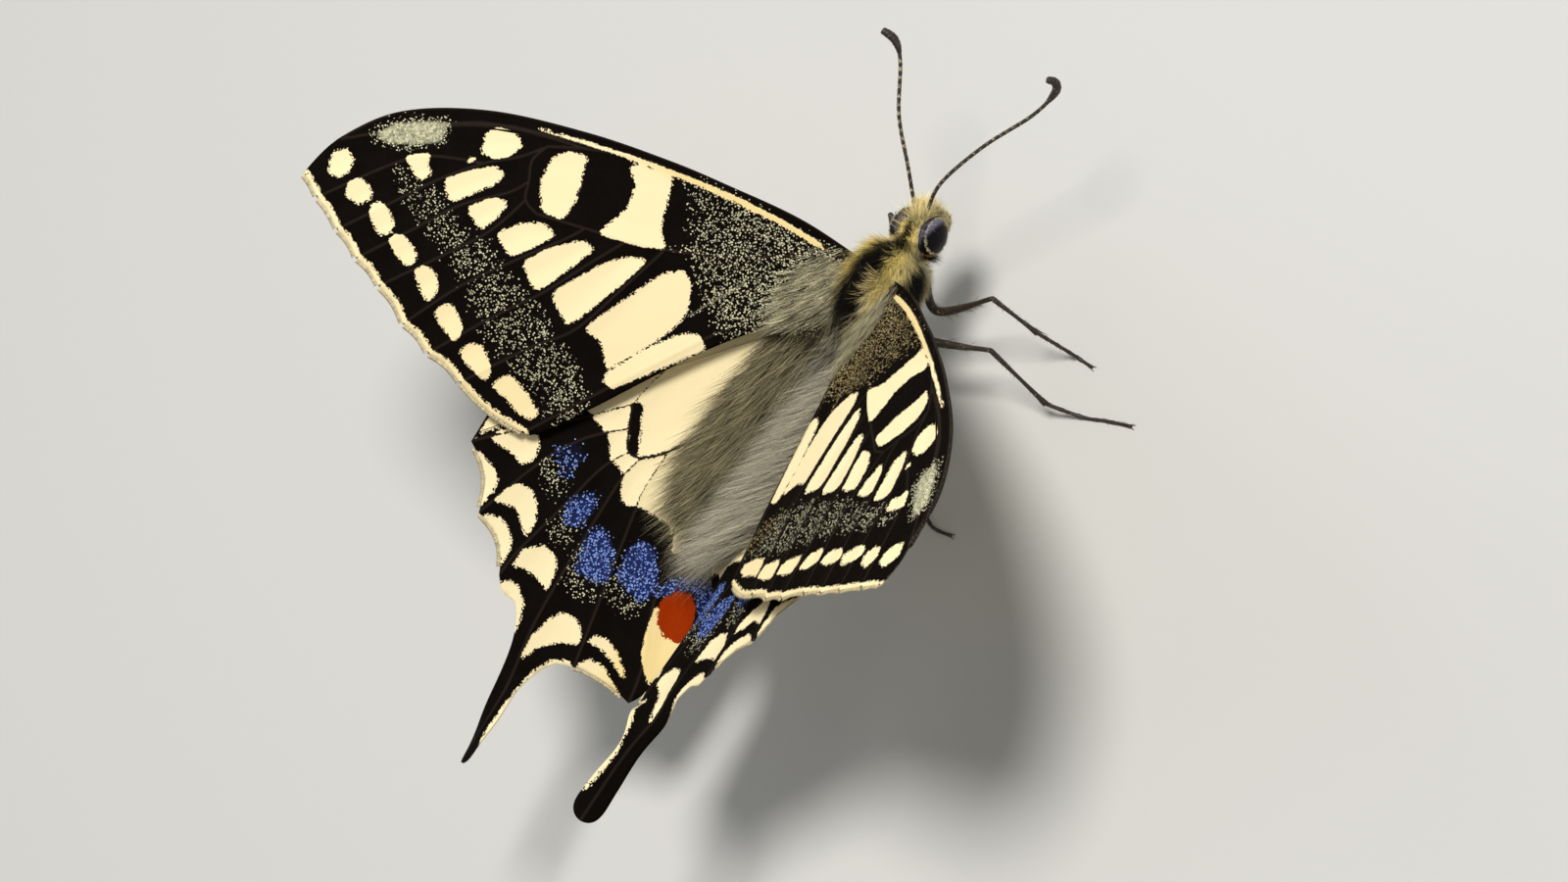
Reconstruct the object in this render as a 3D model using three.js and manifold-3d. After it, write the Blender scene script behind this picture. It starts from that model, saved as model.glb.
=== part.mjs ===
// Swallowtail butterfly, life size, wings half open. Millimetres; +Z up, +X to the head, +Y to its left.
// The body and wings are laid out in the body frame, whose origin is the middle of the front of the thorax;
// that frame is pitched head-up in the stance frame, in which the legs stand on one level.

import * as THREE from 'three';
import Module from 'manifold-3d';
import { mergeVertices } from 'three/addons/utils/BufferGeometryUtils.js';

// ---------------------------------------------------------------- driving dimensions

const GAP = 0.3;                  // clear space between pieces that meet
const PITCH = 5;                  // degrees the body is raised at the head
const STANCE_HEIGHT = 11.5;       // from the floor to the origin of the body frame
const FLAT_DEPTH = 0.1;           // how much of a foot's underside is flat on the floor

const MEMBRANE = 0.5;             // thickness of the wing between the veins
const VEIN_RISE = 0.15;           // height of a vein above each face of the wing
const VEIN_SHOULDER = 0.42;       // half width of a vein at its foot
const NET_STEP = 3.0;             // longest edge along a vein or a margin

// Pose of each wing: hinge point, then degrees of elevation, sweep and twist about the hinge.
const FOREWING_POSE = { hinge: [0, 3.32, 2.55], elevation: 38.2, sweep: 0, twist: 11.8 };
const LEFT_HINDWING_POSE = { hinge: [-5, 2.93, 1.3], elevation: 38.0, sweep: 0, twist: 9.8 };
const RIGHT_HINDWING_POSE = { hinge: [-5, 2.93, 1.46], elevation: 34.4, sweep: -16.1, twist: 8.6 };

// Camber of each wing: rise in mm at 10 mm, for span squared, span times chord and chord squared.
const FOREWING_CAMBER = [-0.24, -0.454, -0.431];
const HINDWING_CAMBER = [-0.002, 0.074, 0.052];

// The tail rolls outer edge down, by this many degrees between these chord positions, and the roll fades out
// between these distances to the side of its axis.
const TAIL_AXIS = 6.45;
const TAIL_ROLL_FADE = [1.5, 3.2];
const LEFT_TAIL_ROLL = { from: -35.5, to: -44, degrees: 80 };
const RIGHT_TAIL_ROLL = { from: -33, to: -37.5, degrees: 80 };

// The inner part of the right hindwing bends down along a line, round this radius and through this angle,
// fully so behind the chord position "to".
const RIGHT_HINDWING_FOLD = { line: 2.4, radius: 2, degrees: 30, from: -19, to: -26 };

// Stations along the body: position, half width, half height, height of the middle.
const THORAX_STATIONS = [
  [2.45, 0.7, 0.85, -0.6],
  [1.85, 1.05, 1.55, -0.48],
  [0.8, 2.4, 2.7, -0.28],
  [-1.0, 3.05, 3.3, -0.2],
  [-3.4, 2.85, 3.15, -0.2],
  [-5.4, 2.3, 2.5, -0.35],
  [-6.7, 1.6, 1.75, -0.5],
];
const ABDOMEN_STATIONS = [
  [-6.0, 1.7, 1.7, -0.5],
  [-8.5, 2.05, 2.0, -0.6],
  [-12.0, 2.1, 2.05, -0.85],
  [-16.0, 1.8, 1.8, -1.25],
  [-19.0, 1.2, 1.25, -1.6],
  [-20.8, 0.45, 0.5, -1.8],
];
const ABDOMEN_SEGMENTS = 8;
const SEGMENT_GROOVE = 0.14;      // depth of the groove between two segments

const HEAD_CENTRE = [3.72, 0, -0.95];
const HEAD_RADII = [1.45, 1.75, 1.65];
const HEAD_TURN = 11;             // degrees that the head, with all it bears, is turned to the left
const EYE_CENTRE = [3.78, 1.45, -0.66];
const EYE_RADII = [1.5, 0.8, 1.5];

const ANTENNA_SHAFT = 0.26;       // radius of the shaft
const ANTENNA_CLUB = 0.42;        // radius of the club at its widest
const LEFT_ANTENNA = [[4.8, 0.85, -0.3], [7.7, 2.4, 1.6], [10.8, 4.5, 3.2], [14.4, 6.1, 4.4],
  [15.7, 7.1, 5.1], [15.9, 8.1, 5.9]];
const RIGHT_ANTENNA = [[5.05, -0.1, -0.3], [8.0, -0.9, 1.4], [12.3, -3.1, 2.1], [16.4, -5.8, 2.4],
  [18.8, -6.9, 2.9], [19.6, -6.9, 3.5], [19.5, -6.6, 4.2]];

const PROBOSCIS_RADIUS = 0.26;
const PROBOSCIS_COIL = { centre: [4.83, -3.14], inner: 0.32, pitch: 0.66, turns: 1.5 };

// Joints of each leg in the stance frame, from the thorax to the claw: root, end of the coxa, knee, ankle, then
// the tarsus. Heights are above the floor, and a tarsus ends with its last two points lying on it.
const LEGS = {
  front_right: [[1.4, -1.1, 8.9], [-0.6, -2.5, 6.8], [2.65, -7.3, 8.3], [2.3, -9.6, 3.9], [2.4, -11.4, 0.75],
    [2.4, -12.0, 0.2], [2.4, -13.2, 0.2]],
  mid_right: [[-1.5, -1.3, 8.4], [-3.0, -2.8, 6.9], [-0.8, -8.7, 6.6], [-1.95, -12.6, 1.9], [-1.2, -15.2, 0.3],
    [-0.4, -17.2, 0.2], [0.3, -19.3, 0.2]],
  hind_right: [[-4.2, -1.3, 8.2], [-5.3, -2.5, 7.0], [-8.2, -5.4, 8.6], [-13.2, -7.1, 2.4], [-14.6, -8.1, 0.4],
    [-15.0, -9.2, 0.2], [-14.7, -10.9, 0.2]],
  front_left: [[1.4, 1.1, 8.9], [0.3, 2.4, 7.0], [3.6, 5.4, 8.0], [3.2, 7.2, 3.4], [3.4, 8.7, 0.6],
    [3.5, 9.3, 0.2], [3.7, 10.5, 0.2]],
  mid_left: [[-1.5, 1.3, 8.4], [-2.5, 2.8, 6.9], [-2.0, 8.2, 7.2], [-3.6, 12.0, 2.2], [-4.0, 14.2, 0.4],
    [-4.2, 15.4, 0.2], [-4.5, 16.9, 0.2]],
  hind_left: [[-4.2, 1.3, 8.2], [-5.3, 2.5, 7.0], [-9.0, 5.6, 8.2], [-14.4, 8.0, 2.6], [-16.4, 9.0, 0.5],
    [-17.6, 9.7, 0.2], [-20.2, 11.2, 0.2]],
};
const FEMUR_RADII = [0.5, 0.5, 0.36];
const TIBIA_RADII = [0.32, 0.3, 0.32];
const TARSUS_RADII = [0.3, 0.27, 0.24];

// ---------------------------------------------------------------- wing plans: span outwards, chord forwards

// A strand is a vein or a stretch of margin; rim marks the margin, raised marks what stands up as a vein.
const FOREWING_APEX = [39.1, -16.3];
const FOREWING_TORNUS = [13.2, -24.7];
const FOREWING_VEIN_ENDS = [FOREWING_APEX, [37.2, -17.4], [34.6, -18.8], [32.2, -20.0], [29.6, -21.0],
  [26.5, -22.6], [23.7, -23.6], [20.4, -24.3], [14.2, -25.2]];
const FOREWING_SCALLOPS = [0.1, 0.15, 0.2, 0.2, 0.25, 0.25, 0.25, -0.35];

const FOREWING_STRANDS = [
  { rim: true, raised: true, points: [[-3, -0.4], [3.6, 0], [10.3, -0.6], [15.0, -1.2], [21.6, -2.5],
    [29.0, -4.8], [34.9, -8.3], [38.1, -12.7], FOREWING_APEX] },
  { rim: true, points: [FOREWING_TORNUS, [10.7, -21.2], [5.2, -12.7], [1.0, -7.7], [-3, -4.0]] },
  { rim: true, points: [[-3, -4.0], [-3, -2.8]] },
  { rim: true, points: [[-3, -2.8], [-3, -1.6]] },
  { rim: true, points: [[-3, -1.6], [-3, -0.4]] },
  { rim: true, points: [[14.2, -25.2], FOREWING_TORNUS] },
  { raised: true, points: [[15.0, -1.2], [20.9, -3.6], [23.7, -5.0]] },
  { raised: true, points: [[20.9, -3.6], [27.5, -5.4], [33.5, -9.0], [38.1, -12.7]] },
  { raised: true, points: [[23.7, -5.0], [27.3, -8.6], [29.9, -11.7], [34.6, -18.8]] },
  { raised: true, points: [[27.3, -8.6], [31.2, -10.2], [33.5, -12.3], [37.2, -17.4]] },
  { raised: true, points: [[23.7, -5.0], [24.2, -6.5], [23.6, -8.1], [23.1, -9.5], [21.8, -10.0]] },
  { raised: true, points: [[23.6, -8.1], [27.3, -12.4], [32.2, -20.0]] },
  { raised: true, points: [[23.1, -9.5], [24.3, -13.0], [29.6, -21.0]] },
  { raised: true, points: [[-3, -1.6], [4.9, -4.0], [11.8, -7.4], [14.7, -8.3], [18.0, -9.1],
    [21.8, -10.0]] },
  { raised: true, points: [[18.0, -9.1], [21.4, -13.9], [26.5, -22.6]] },
  { raised: true, points: [[14.7, -8.3], [18.3, -15.0], [23.7, -23.6]] },
  { raised: true, points: [[11.8, -7.4], [14.7, -16.2], [20.4, -24.3]] },
  { raised: true, points: [[-3, -2.8], [2.2, -6.6], [7.2, -13.8], [11.2, -20.2], [14.2, -25.2]] },
];

const HINDWING_APEX = [18.4, -23.0];
const HINDWING_VEIN_ENDS = [HINDWING_APEX, [15.1, -27.5], [11.3, -30.9]];
const HINDWING_SCALLOPS = [0.75, 0.75];
const HINDWING_LOBE_ENDS = [[2.7, -34.2], [1.6, -34.0], [-2.4, -34.5]];
const HINDWING_LOBE_SCALLOPS = [0.05, 0.2];
const TAIL_TIP = [6.5, -45.0];

const HINDWING_STRANDS = [
  { rim: true, raised: true, points: [[-2.5, 0.3], [3, 1.1], [8, -1], [13, -6], [16.5, -12], [18.1, -18],
    HINDWING_APEX] },
  { rim: true, points: [[11.3, -30.9], [10.4, -31.9], [9.0, -32.3], [7.9, -34.6], [7.4, -38.0], [7.6, -41.5],
    [7.7, -43.6], [7.3, -44.7], TAIL_TIP] },
  { rim: true, points: [TAIL_TIP, [5.6, -44.7], [5.2, -43.6], [5.25, -41.5], [5.5, -38.0], [4.4, -35.1],
    [2.7, -34.2]] },
  { rim: true, points: [[-2.4, -34.5], [-3.1, -33.2], [-3.7, -30], [-4.2, -24], [-3.6, -18], [-2.7, -12],
    [-2.0, -6.5], [-2.5, -2.8]] },
  { rim: true, points: [[-2.5, -2.8], [-2.5, -2.0]] },
  { rim: true, points: [[-2.5, -2.0], [-2.5, -1.2]] },
  { rim: true, points: [[-2.5, -1.2], [-2.5, -0.4]] },
  { rim: true, points: [[-2.5, -0.4], [-2.5, 0.3]] },
  { raised: true, points: [[-2.5, -0.4], [3.0, -3.6], [7.6, -9.6], [9.0, -14.2]] },
  { raised: true, points: [[3.0, -3.6], [10.5, -8.0], [18.1, -18]] },
  { raised: true, points: [[9.0, -14.2], [12.6, -17.8], HINDWING_APEX] },
  { raised: true, points: [[9.0, -14.2], [8.3, -16.0], [7.4, -17.6], [6.3, -17.5]] },
  { raised: true, points: [[8.3, -16.0], [12.4, -20.5], [15.1, -27.5]] },
  { raised: true, points: [[7.4, -17.6], [9.6, -23.6], [11.3, -30.9]] },
  { raised: true, points: [[6.3, -17.5], [7.0, -24.3], [7.0, -33.5], [6.4, -38.5], TAIL_TIP] },
  { raised: true, points: [[-2.5, -1.2], [0.6, -7.5], [2.9, -13.1], [4.7, -16.0], [6.3, -17.5]] },
  { raised: true, points: [[4.7, -16.0], [4.6, -21.6], [2.7, -34.2]] },
  { points: [[4.7, -16.0], [2.7, -22], [1.7, -28], [1.6, -34.0]] },
  { raised: true, points: [[2.9, -13.1], [1.5, -20.2], [-2.4, -34.5]] },
  { raised: true, points: [[-2.5, -2.0], [-0.6, -7], [-1.6, -14], [-2.7, -21], [-3.7, -30]] },
];

// ---------------------------------------------------------------- solids

const wasm = await Module();
wasm.setup();
const radians = THREE.MathUtils.degToRad;

function solidOf(geometry) {
  const bare = geometry.clone();
  bare.deleteAttribute('normal');
  bare.deleteAttribute('uv');
  const merged = mergeVertices(bare, 1e-5);
  const vertProperties = new Float32Array(merged.attributes.position.array);
  const triVerts = new Uint32Array(merged.index.array);
  return new wasm.Manifold(new wasm.Mesh({ numProp: 3, vertProperties, triVerts }));
}

function geometryOf(solid) {
  const pieces = solid.decompose();
  const largest = pieces.reduce((best, piece) => (piece.volume() > best.volume() ? piece : best));
  const mesh = largest.getMesh();
  const geometry = new THREE.BufferGeometry();
  geometry.setAttribute('position', new THREE.BufferAttribute(new Float32Array(mesh.vertProperties), 3));
  geometry.setIndex(new THREE.BufferAttribute(new Uint32Array(mesh.triVerts), 1));
  return geometry;
}

// The piece with each keep-out taken from it.
function cutBy(geometry, ...keepOuts) {
  let solid = solidOf(geometry);
  for (const keepOut of keepOuts) {
    solid = solid.subtract(solidOf(keepOut));
  }
  return geometryOf(solid);
}

function indexed(points, triangles) {
  const geometry = new THREE.BufferGeometry();
  geometry.setFromPoints(points);
  geometry.setIndex(volumeOf(points, triangles) < 0 ? triangles.map(([a, b, c]) => [a, c, b]).flat()
    : triangles.flat());
  return geometry;
}

function volumeOf(points, triangles) {
  const cross = new THREE.Vector3();
  let sum = 0;
  for (const [a, b, c] of triangles) {
    sum += points[a].dot(cross.crossVectors(points[b], points[c]));
  }
  return sum / 6;
}

// A closed skin over rings of equal count, with a pole at each end.
function loft(rings, startPole, endPole) {
  const count = rings[0].length;
  const points = [...rings.flat(), startPole, endPole];
  const start = points.length - 2;
  const end = points.length - 1;
  const last = (rings.length - 1) * count;
  const triangles = [];
  for (let side = 0; side < count; side++) {
    const next = (side + 1) % count;
    triangles.push([start, next, side], [end, last + side, last + next]);
    for (let row = 0; row < rings.length - 1; row++) {
      const a = row * count + side;
      const b = row * count + next;
      triangles.push([a, b, b + count], [a, b + count, a + count]);
    }
  }
  return indexed(points, triangles);
}

function vectors(list) {
  return list.map((point) => new THREE.Vector3(...point));
}

// A round limb along a curve; radiusAt gives its radius, and grow thickens and lengthens it all over.
function limb(points, radiusAt, steps, sides, grow = 0) {
  const curve = new THREE.CatmullRomCurve3(vectors(points), false, 'centripetal');
  const frames = curve.computeFrenetFrames(steps, false);
  const rings = [];
  for (let step = 0; step <= steps; step++) {
    const centre = curve.getPointAt(step / steps);
    if (grow && step === 0) centre.addScaledVector(frames.tangents[0], -grow);
    if (grow && step === steps) centre.addScaledVector(frames.tangents[steps], grow);
    const radius = radiusAt(step / steps) + grow;
    rings.push(circle(centre, frames.normals[step], frames.binormals[step], radius, radius, sides));
  }
  const middle = (ring) => ring.reduce((sum, point) => sum.add(point), new THREE.Vector3())
    .divideScalar(ring.length);
  return loft(rings, middle(rings[0]), middle(rings[steps]));
}

function circle(centre, axisA, axisB, radiusA, radiusB, sides) {
  return Array.from({ length: sides }, (_, side) => {
    const angle = (side + 0.5) / sides * 2 * Math.PI;
    return centre.clone()
      .addScaledVector(axisA, Math.cos(angle) * radiusA)
      .addScaledVector(axisB, Math.sin(angle) * radiusB);
  });
}

function ellipsoid(centre, radii, grow) {
  const sphere = new THREE.SphereGeometry(1, 18, 12);
  sphere.rotateX(Math.PI / 2);
  sphere.scale(...radii.map((radius) => radius + grow));
  return sphere.translate(...centre);
}

// ---------------------------------------------------------------- body

// Rings along the stations, each half width and half height scaled by girthAt of the way along.
function trunk(stations, rows, sides, grow, girthAt = () => 1) {
  const girth = new THREE.CatmullRomCurve3(vectors(stations.map(([x, wide, high]) => [x, wide, high])));
  const axis = new THREE.CatmullRomCurve3(vectors(stations.map(([x, , , middle]) => [x, 0, middle])));
  const side = new THREE.Vector3(0, 1, 0);
  const up = new THREE.Vector3(0, 0, 1);
  const rings = [];
  for (let row = 0; row <= rows; row++) {
    const along = row / rows;
    const { x, y: wide, z: high } = girth.getPoint(along);
    const scale = girthAt(along);
    const centre = new THREE.Vector3(x, 0, axis.getPoint(along).z);
    if (row === 0) centre.x += grow;
    if (row === rows) centre.x -= grow;
    rings.push(circle(centre, side, up, wide * scale + grow, high * scale + grow, sides));
  }
  const pole = (row, reach) => new THREE.Vector3(rings[row][0].x + reach, 0,
    (rings[row][0].z + rings[row][sides / 2].z) / 2);
  return loft(rings, pole(0, 0.25), pole(rows, -0.25));
}

const thoraxShape = (grow) => trunk(THORAX_STATIONS, 12, 20, grow);

// Each segment swells a little behind its groove.
function abdomenShape(grow) {
  const rowsPerSegment = 3;
  const ridge = (along) => 1 - SEGMENT_GROOVE / 2 * (1 + Math.cos(along * ABDOMEN_SEGMENTS * 2 * Math.PI))
    / ABDOMEN_STATIONS[2][1];
  return trunk(ABDOMEN_STATIONS, ABDOMEN_SEGMENTS * rowsPerSegment, 18, grow, ridge);
}

// Turns a shape about the upright line through the middle of the head.
function turnedWithHead(geometry) {
  const [x, y, z] = HEAD_CENTRE;
  return geometry.translate(-x, -y, -z).rotateZ(radians(HEAD_TURN)).translate(x, y, z);
}

const headShape = (grow) => turnedWithHead(ellipsoid(HEAD_CENTRE, HEAD_RADII, grow));

function eyeShape(sign, grow) {
  return turnedWithHead(ellipsoid([EYE_CENTRE[0], sign * EYE_CENTRE[1], EYE_CENTRE[2]], EYE_RADII, grow));
}

function palpShape(sign) {
  const points = [[4.13, 0.98 * sign, -2.29], [5.03, 0.98 * sign, -2.34], [5.58, 0.96 * sign, -1.59],
    [5.73, 0.92 * sign, -0.74]];
  const radiusAt = (along) => 0.38 - 0.17 * along ** 2;
  return turnedWithHead(limb(points, radiusAt, 7, 8));
}

// The tongue starts under the head and coils into a flat watch spring.
function proboscisShape() {
  const { centre, inner, pitch, turns } = PROBOSCIS_COIL;
  const points = [];
  for (let turn = turns; turn >= 0; turn -= 1 / 8) {
    const radius = inner + pitch * turn;
    const angle = Math.PI * (0.62 - 2 * (turns - turn));
    points.push([centre[0] + radius * Math.cos(angle), 0, centre[1] + radius * Math.sin(angle)]);
  }
  return turnedWithHead(limb(points, () => PROBOSCIS_RADIUS, 26, 8));
}

function antennaShape(points) {
  const clubStart = 0.84;
  const radiusAt = (along) => {
    const club = Math.max(0, (along - clubStart) / (1 - clubStart));
    return ANTENNA_SHAFT + (ANTENNA_CLUB - ANTENNA_SHAFT) * Math.sin(club * 0.8 * Math.PI) - 0.05 * club;
  };
  return limb(points, radiusAt, 26, 8);
}

// ---------------------------------------------------------------- legs, in the stance frame

function blend(radii) {
  return (along) => (along < 0.5 ? THREE.MathUtils.lerp(radii[0], radii[1], along * 2)
    : THREE.MathUtils.lerp(radii[1], radii[2], along * 2 - 1));
}

function legPieces(joints, thoraxKeepOut) {
  const [root, coxa, knee, ankle, ...foot] = joints.map(([x, y, z]) => [x, y, z - STANCE_HEIGHT]);
  const femurShape = (grow) => limb([root, coxa, knee], blend(FEMUR_RADII), 10, 8, grow);
  const tibiaShape = (grow) => limb([knee, ankle], blend(TIBIA_RADII), 4, 8, grow);
  const tarsus = limb([ankle, ...foot], blend(TARSUS_RADII), 10, 8);
  const floor = new THREE.BoxGeometry(80, 80, 4).translate(0, 0, -STANCE_HEIGHT - 2 + FLAT_DEPTH);
  return {
    femur: cutBy(femurShape(0), thoraxKeepOut),
    tibia: cutBy(tibiaShape(0), femurShape(GAP)),
    tarsus: cutBy(tarsus, tibiaShape(GAP), floor),
  };
}

// ---------------------------------------------------------------- wings

// A scalloped margin from one vein end to the next: each bay is a half sine, positive depths cut inwards.
function scallops(ends, depths) {
  return depths.map((depth, bay) => {
    const [a, b] = [ends[bay], ends[bay + 1]];
    const chord = Math.hypot(b[0] - a[0], b[1] - a[1]);
    const inward = [(b[1] - a[1]) / chord, -(b[0] - a[0]) / chord];
    const points = [0, 0.2, 0.5, 0.8, 1].map((along) => {
      const dip = depth * Math.sin(Math.PI * along);
      return [0, 1].map((k) => a[k] + (b[k] - a[k]) * along + inward[k] * dip);
    });
    points[4] = b;
    return { rim: true, points };
  });
}

// How far a change that runs between two chord positions has come at this one, from 0 to 1.
function progress(chord, { from, to }) {
  return THREE.MathUtils.smoothstep(-chord, -from, -to);
}

// Where the roll of the tail takes a point of the plan: its new span and its rise.
function rolled(span, chord, roll) {
  const off = span - TAIL_AXIS;
  const grip = 1 - THREE.MathUtils.smoothstep(Math.abs(off), ...TAIL_ROLL_FADE);
  const angle = radians(roll.degrees * progress(chord, roll) * grip);
  return [TAIL_AXIS + off * Math.cos(angle), -off * Math.sin(angle)];
}

// Where the fold of the inner part takes a point of the plan: round the bend, then straight on.
function folded(span, chord, fold) {
  const off = Math.max(0, fold.line - span);
  const angle = radians(fold.degrees * progress(chord, fold));
  const bent = Math.min(off / fold.radius, angle);
  const rest = off - bent * fold.radius;
  return [Math.max(span, fold.line) - fold.radius * Math.sin(bent) - rest * Math.cos(bent),
    fold.radius * (Math.cos(bent) - 1) - rest * Math.sin(bent)];
}

// Places a point of the wing plan: cambered, rolled along the tail, folded along the inner part, then turned
// and carried to the hinge.
function wingSurface({ pose, camber, roll, fold, side }) {
  const turn = new THREE.Matrix4().makeRotationX(radians(pose.elevation))
    .multiply(new THREE.Matrix4().makeRotationZ(radians(pose.sweep)))
    .multiply(new THREE.Matrix4().makeRotationY(radians(pose.twist)));
  const hinge = new THREE.Vector3(...pose.hinge);
  const mirror = new THREE.Vector3(1, side, 1);
  return (span, chord) => {
    const cambered = (camber[0] * span * span + camber[1] * span * chord + camber[2] * chord * chord) / 100;
    const [rollSpan, rollRise] = roll ? rolled(span, chord, roll) : [span, 0];
    const [reach, foldRise] = fold ? folded(rollSpan, chord, fold) : [rollSpan, 0];
    return new THREE.Vector3(chord, reach, cambered + rollRise + foldRise)
      .applyMatrix4(turn).add(hinge).multiply(mirror);
  };
}

// The strands as one net: numbered points shared where strands meet, with their neighbours.
function veinNet(strands) {
  const nodes = [];
  const numbers = new Map();
  const numberOf = (x, y) => {
    const key = `${x.toFixed(4)},${y.toFixed(4)}`;
    if (!numbers.has(key)) {
      numbers.set(key, nodes.length);
      nodes.push({ at: new THREE.Vector2(x, y), links: new Set(), rim: false, raised: false });
    }
    return numbers.get(key);
  };
  for (const { points, rim = false, raised = false } of strands) {
    const chain = [];
    const curve = new THREE.SplineCurve(points.map(([x, y]) => new THREE.Vector2(x, y)));
    for (let stretch = 0; stretch < points.length - 1; stretch++) {
      const [a, b] = [points[stretch], points[stretch + 1]];
      const pieces = points.length > 2 ? Math.ceil(Math.hypot(b[0] - a[0], b[1] - a[1]) / NET_STEP) : 1;
      for (let piece = 0; piece < pieces; piece++) {
        const { x, y } = curve.getPoint((stretch + piece / pieces) / (points.length - 1));
        chain.push(numberOf(x, y));
      }
    }
    chain.push(numberOf(...points.at(-1)));
    chain.forEach((number, place) => {
      const node = nodes[number];
      node.rim ||= rim && !raised;
      node.raised ||= raised;
      if (place > 0) {
        node.links.add(chain[place - 1]);
        nodes[chain[place - 1]].links.add(number);
      }
    });
  }
  return nodes;
}

// Every face of the net, counter-clockwise, found by taking the sharpest turn at each point.
function netFaces(nodes) {
  const heading = (from, to) => nodes[to].at.clone().sub(nodes[from].at).angle();
  const around = nodes.map((node, number) => [...node.links]
    .sort((a, b) => heading(number, a) - heading(number, b)));
  const walked = new Set();
  const faces = [];
  nodes.forEach((node, start) => node.links.forEach((second) => {
    if (walked.has(`${start}>${second}`)) return;
    const face = [];
    let [from, to] = [start, second];
    while (!walked.has(`${from}>${to}`)) {
      walked.add(`${from}>${to}`);
      face.push(from);
      const spokes = around[to];
      const next = spokes[(spokes.indexOf(from) + spokes.length - 1) % spokes.length];
      [from, to] = [to, next];
    }
    faces.push(face);
  }));
  const areaOf = (face) => THREE.ShapeUtils.area(face.map((number) => nodes[number].at));
  return faces.filter((face) => areaOf(face) > 0);
}

function distanceToEdge(point, a, b) {
  const span = b.clone().sub(a);
  const along = THREE.MathUtils.clamp(point.clone().sub(a).dot(span) / span.lengthSq(), 0, 1);
  return point.distanceTo(a.clone().addScaledVector(span, along));
}

// The foot of the vein inside one corner of a face, closer in where the face is narrow.
function shoulderPoint(corners, place) {
  const count = corners.length;
  const at = corners[place];
  const before = corners[(place + count - 1) % count];
  const after = corners[(place + 1) % count];
  const inward = (a, b) => new THREE.Vector2(a.y - b.y, b.x - a.x).normalize();
  const [first, second] = [inward(before, at), inward(at, after)];
  let room = Infinity;
  for (let other = 0; other < count; other++) {
    const following = (other + 1) % count;
    if (other !== place && following !== place) {
      room = Math.min(room, distanceToEdge(at, corners[other], corners[following]));
    }
  }
  const width = Math.min(VEIN_SHOULDER, 0.35 * room);
  const spread = Math.max(0.15, 1 + first.dot(second));
  const offset = first.add(second).multiplyScalar(width / spread);
  const shortest = Math.min(at.distanceTo(before), at.distanceTo(after));
  return at.clone().add(offset.clampLength(0, 0.55 * shortest));
}

// A plate over the net: flat between veins, ridged along them on both faces, the two faces split alike.
function wingPlate(strands, surface) {
  const nodes = veinNet(strands);
  const points = [];
  const addPair = (at, half) => {
    const middle = surface(at.x, at.y);
    const step = 0.01;
    const outwards = surface(at.x + step, at.y).sub(surface(at.x - step, at.y));
    const forwards = surface(at.x, at.y + step).sub(surface(at.x, at.y - step));
    const normal = forwards.cross(outwards).normalize();
    points.push(middle.clone().addScaledVector(normal, half), middle.addScaledVector(normal, -half));
    return points.length - 2;
  };
  const crested = nodes.map((node) => node.raised && !node.rim);
  const halfAt = (number) => MEMBRANE / 2 + (crested[number] ? VEIN_RISE : 0);
  const pairs = nodes.map((node, number) => addPair(node.at, halfAt(number)));
  const triangles = [];
  const addBoth = (a, b, c) => {
    if (a !== b && b !== c && c !== a) triangles.push([a, c, b], [a + 1, b + 1, c + 1]);
  };
  const faces = netFaces(nodes);
  const stepOf = (face, place) => `${face[place]}>${face[(place + 1) % face.length]}`;
  const steps = new Set(faces.flatMap((face) => face.map((_, place) => stepOf(face, place))));
  for (const face of faces) {
    const corners = face.map((number) => nodes[number].at);
    const feet = corners.map((at, place) => (crested[face[place]] ? shoulderPoint(corners, place) : at));
    const outer = face.map((number) => pairs[number]);
    const inner = feet.map((at, place) => (crested[face[place]] ? addPair(at, MEMBRANE / 2) : outer[place]));
    face.forEach((number, place) => {
      const next = (place + 1) % face.length;
      addBoth(outer[place], outer[next], inner[next]);
      addBoth(outer[place], inner[next], inner[place]);
      if (!steps.has(`${face[next]}>${number}`)) {
        triangles.push([outer[place], outer[next], outer[next] + 1]);
        triangles.push([outer[place], outer[next] + 1, outer[place] + 1]);
      }
    });
    for (const [a, b, c] of THREE.ShapeUtils.triangulateShape(feet, [])) {
      const clockwise = THREE.ShapeUtils.area([feet[a], feet[b], feet[c]]) < 0;
      addBoth(inner[a], inner[clockwise ? c : b], inner[clockwise ? b : c]);
    }
  }
  return indexed(points, triangles);
}

const forewingStrands = [...FOREWING_STRANDS, ...scallops(FOREWING_VEIN_ENDS, FOREWING_SCALLOPS)];
const hindwingStrands = [...HINDWING_STRANDS, ...scallops(HINDWING_VEIN_ENDS, HINDWING_SCALLOPS),
  ...scallops(HINDWING_LOBE_ENDS, HINDWING_LOBE_SCALLOPS)];

// ---------------------------------------------------------------- materials

const CREAM = { color: 0xf3e2a8, roughness: 0.7, metalness: 0 };
const SOOT = { color: 0x1c1712, roughness: 0.6, metalness: 0 };
const FUR = { color: 0x6b6034, roughness: 0.9, metalness: 0 };
const EYE = { color: 0x12121c, roughness: 0.2, metalness: 0 };

const butterfly = new THREE.Group();
const body = new THREE.Group();
const legs = new THREE.Group();
body.rotation.y = radians(-PITCH);
butterfly.add(body, legs);

function add(group, name, geometry, finish) {
  const mesh = new THREE.Mesh(geometry, new THREE.MeshStandardMaterial(finish));
  mesh.name = name;
  group.add(mesh);
}

// ---------------------------------------------------------------- assembly

const thoraxKeepOut = thoraxShape(GAP);
const abdomenKeepOut = abdomenShape(GAP);
const headKeepOut = headShape(GAP);
const eyeKeepOuts = [1, -1].map((sign) => eyeShape(sign, GAP));

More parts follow.
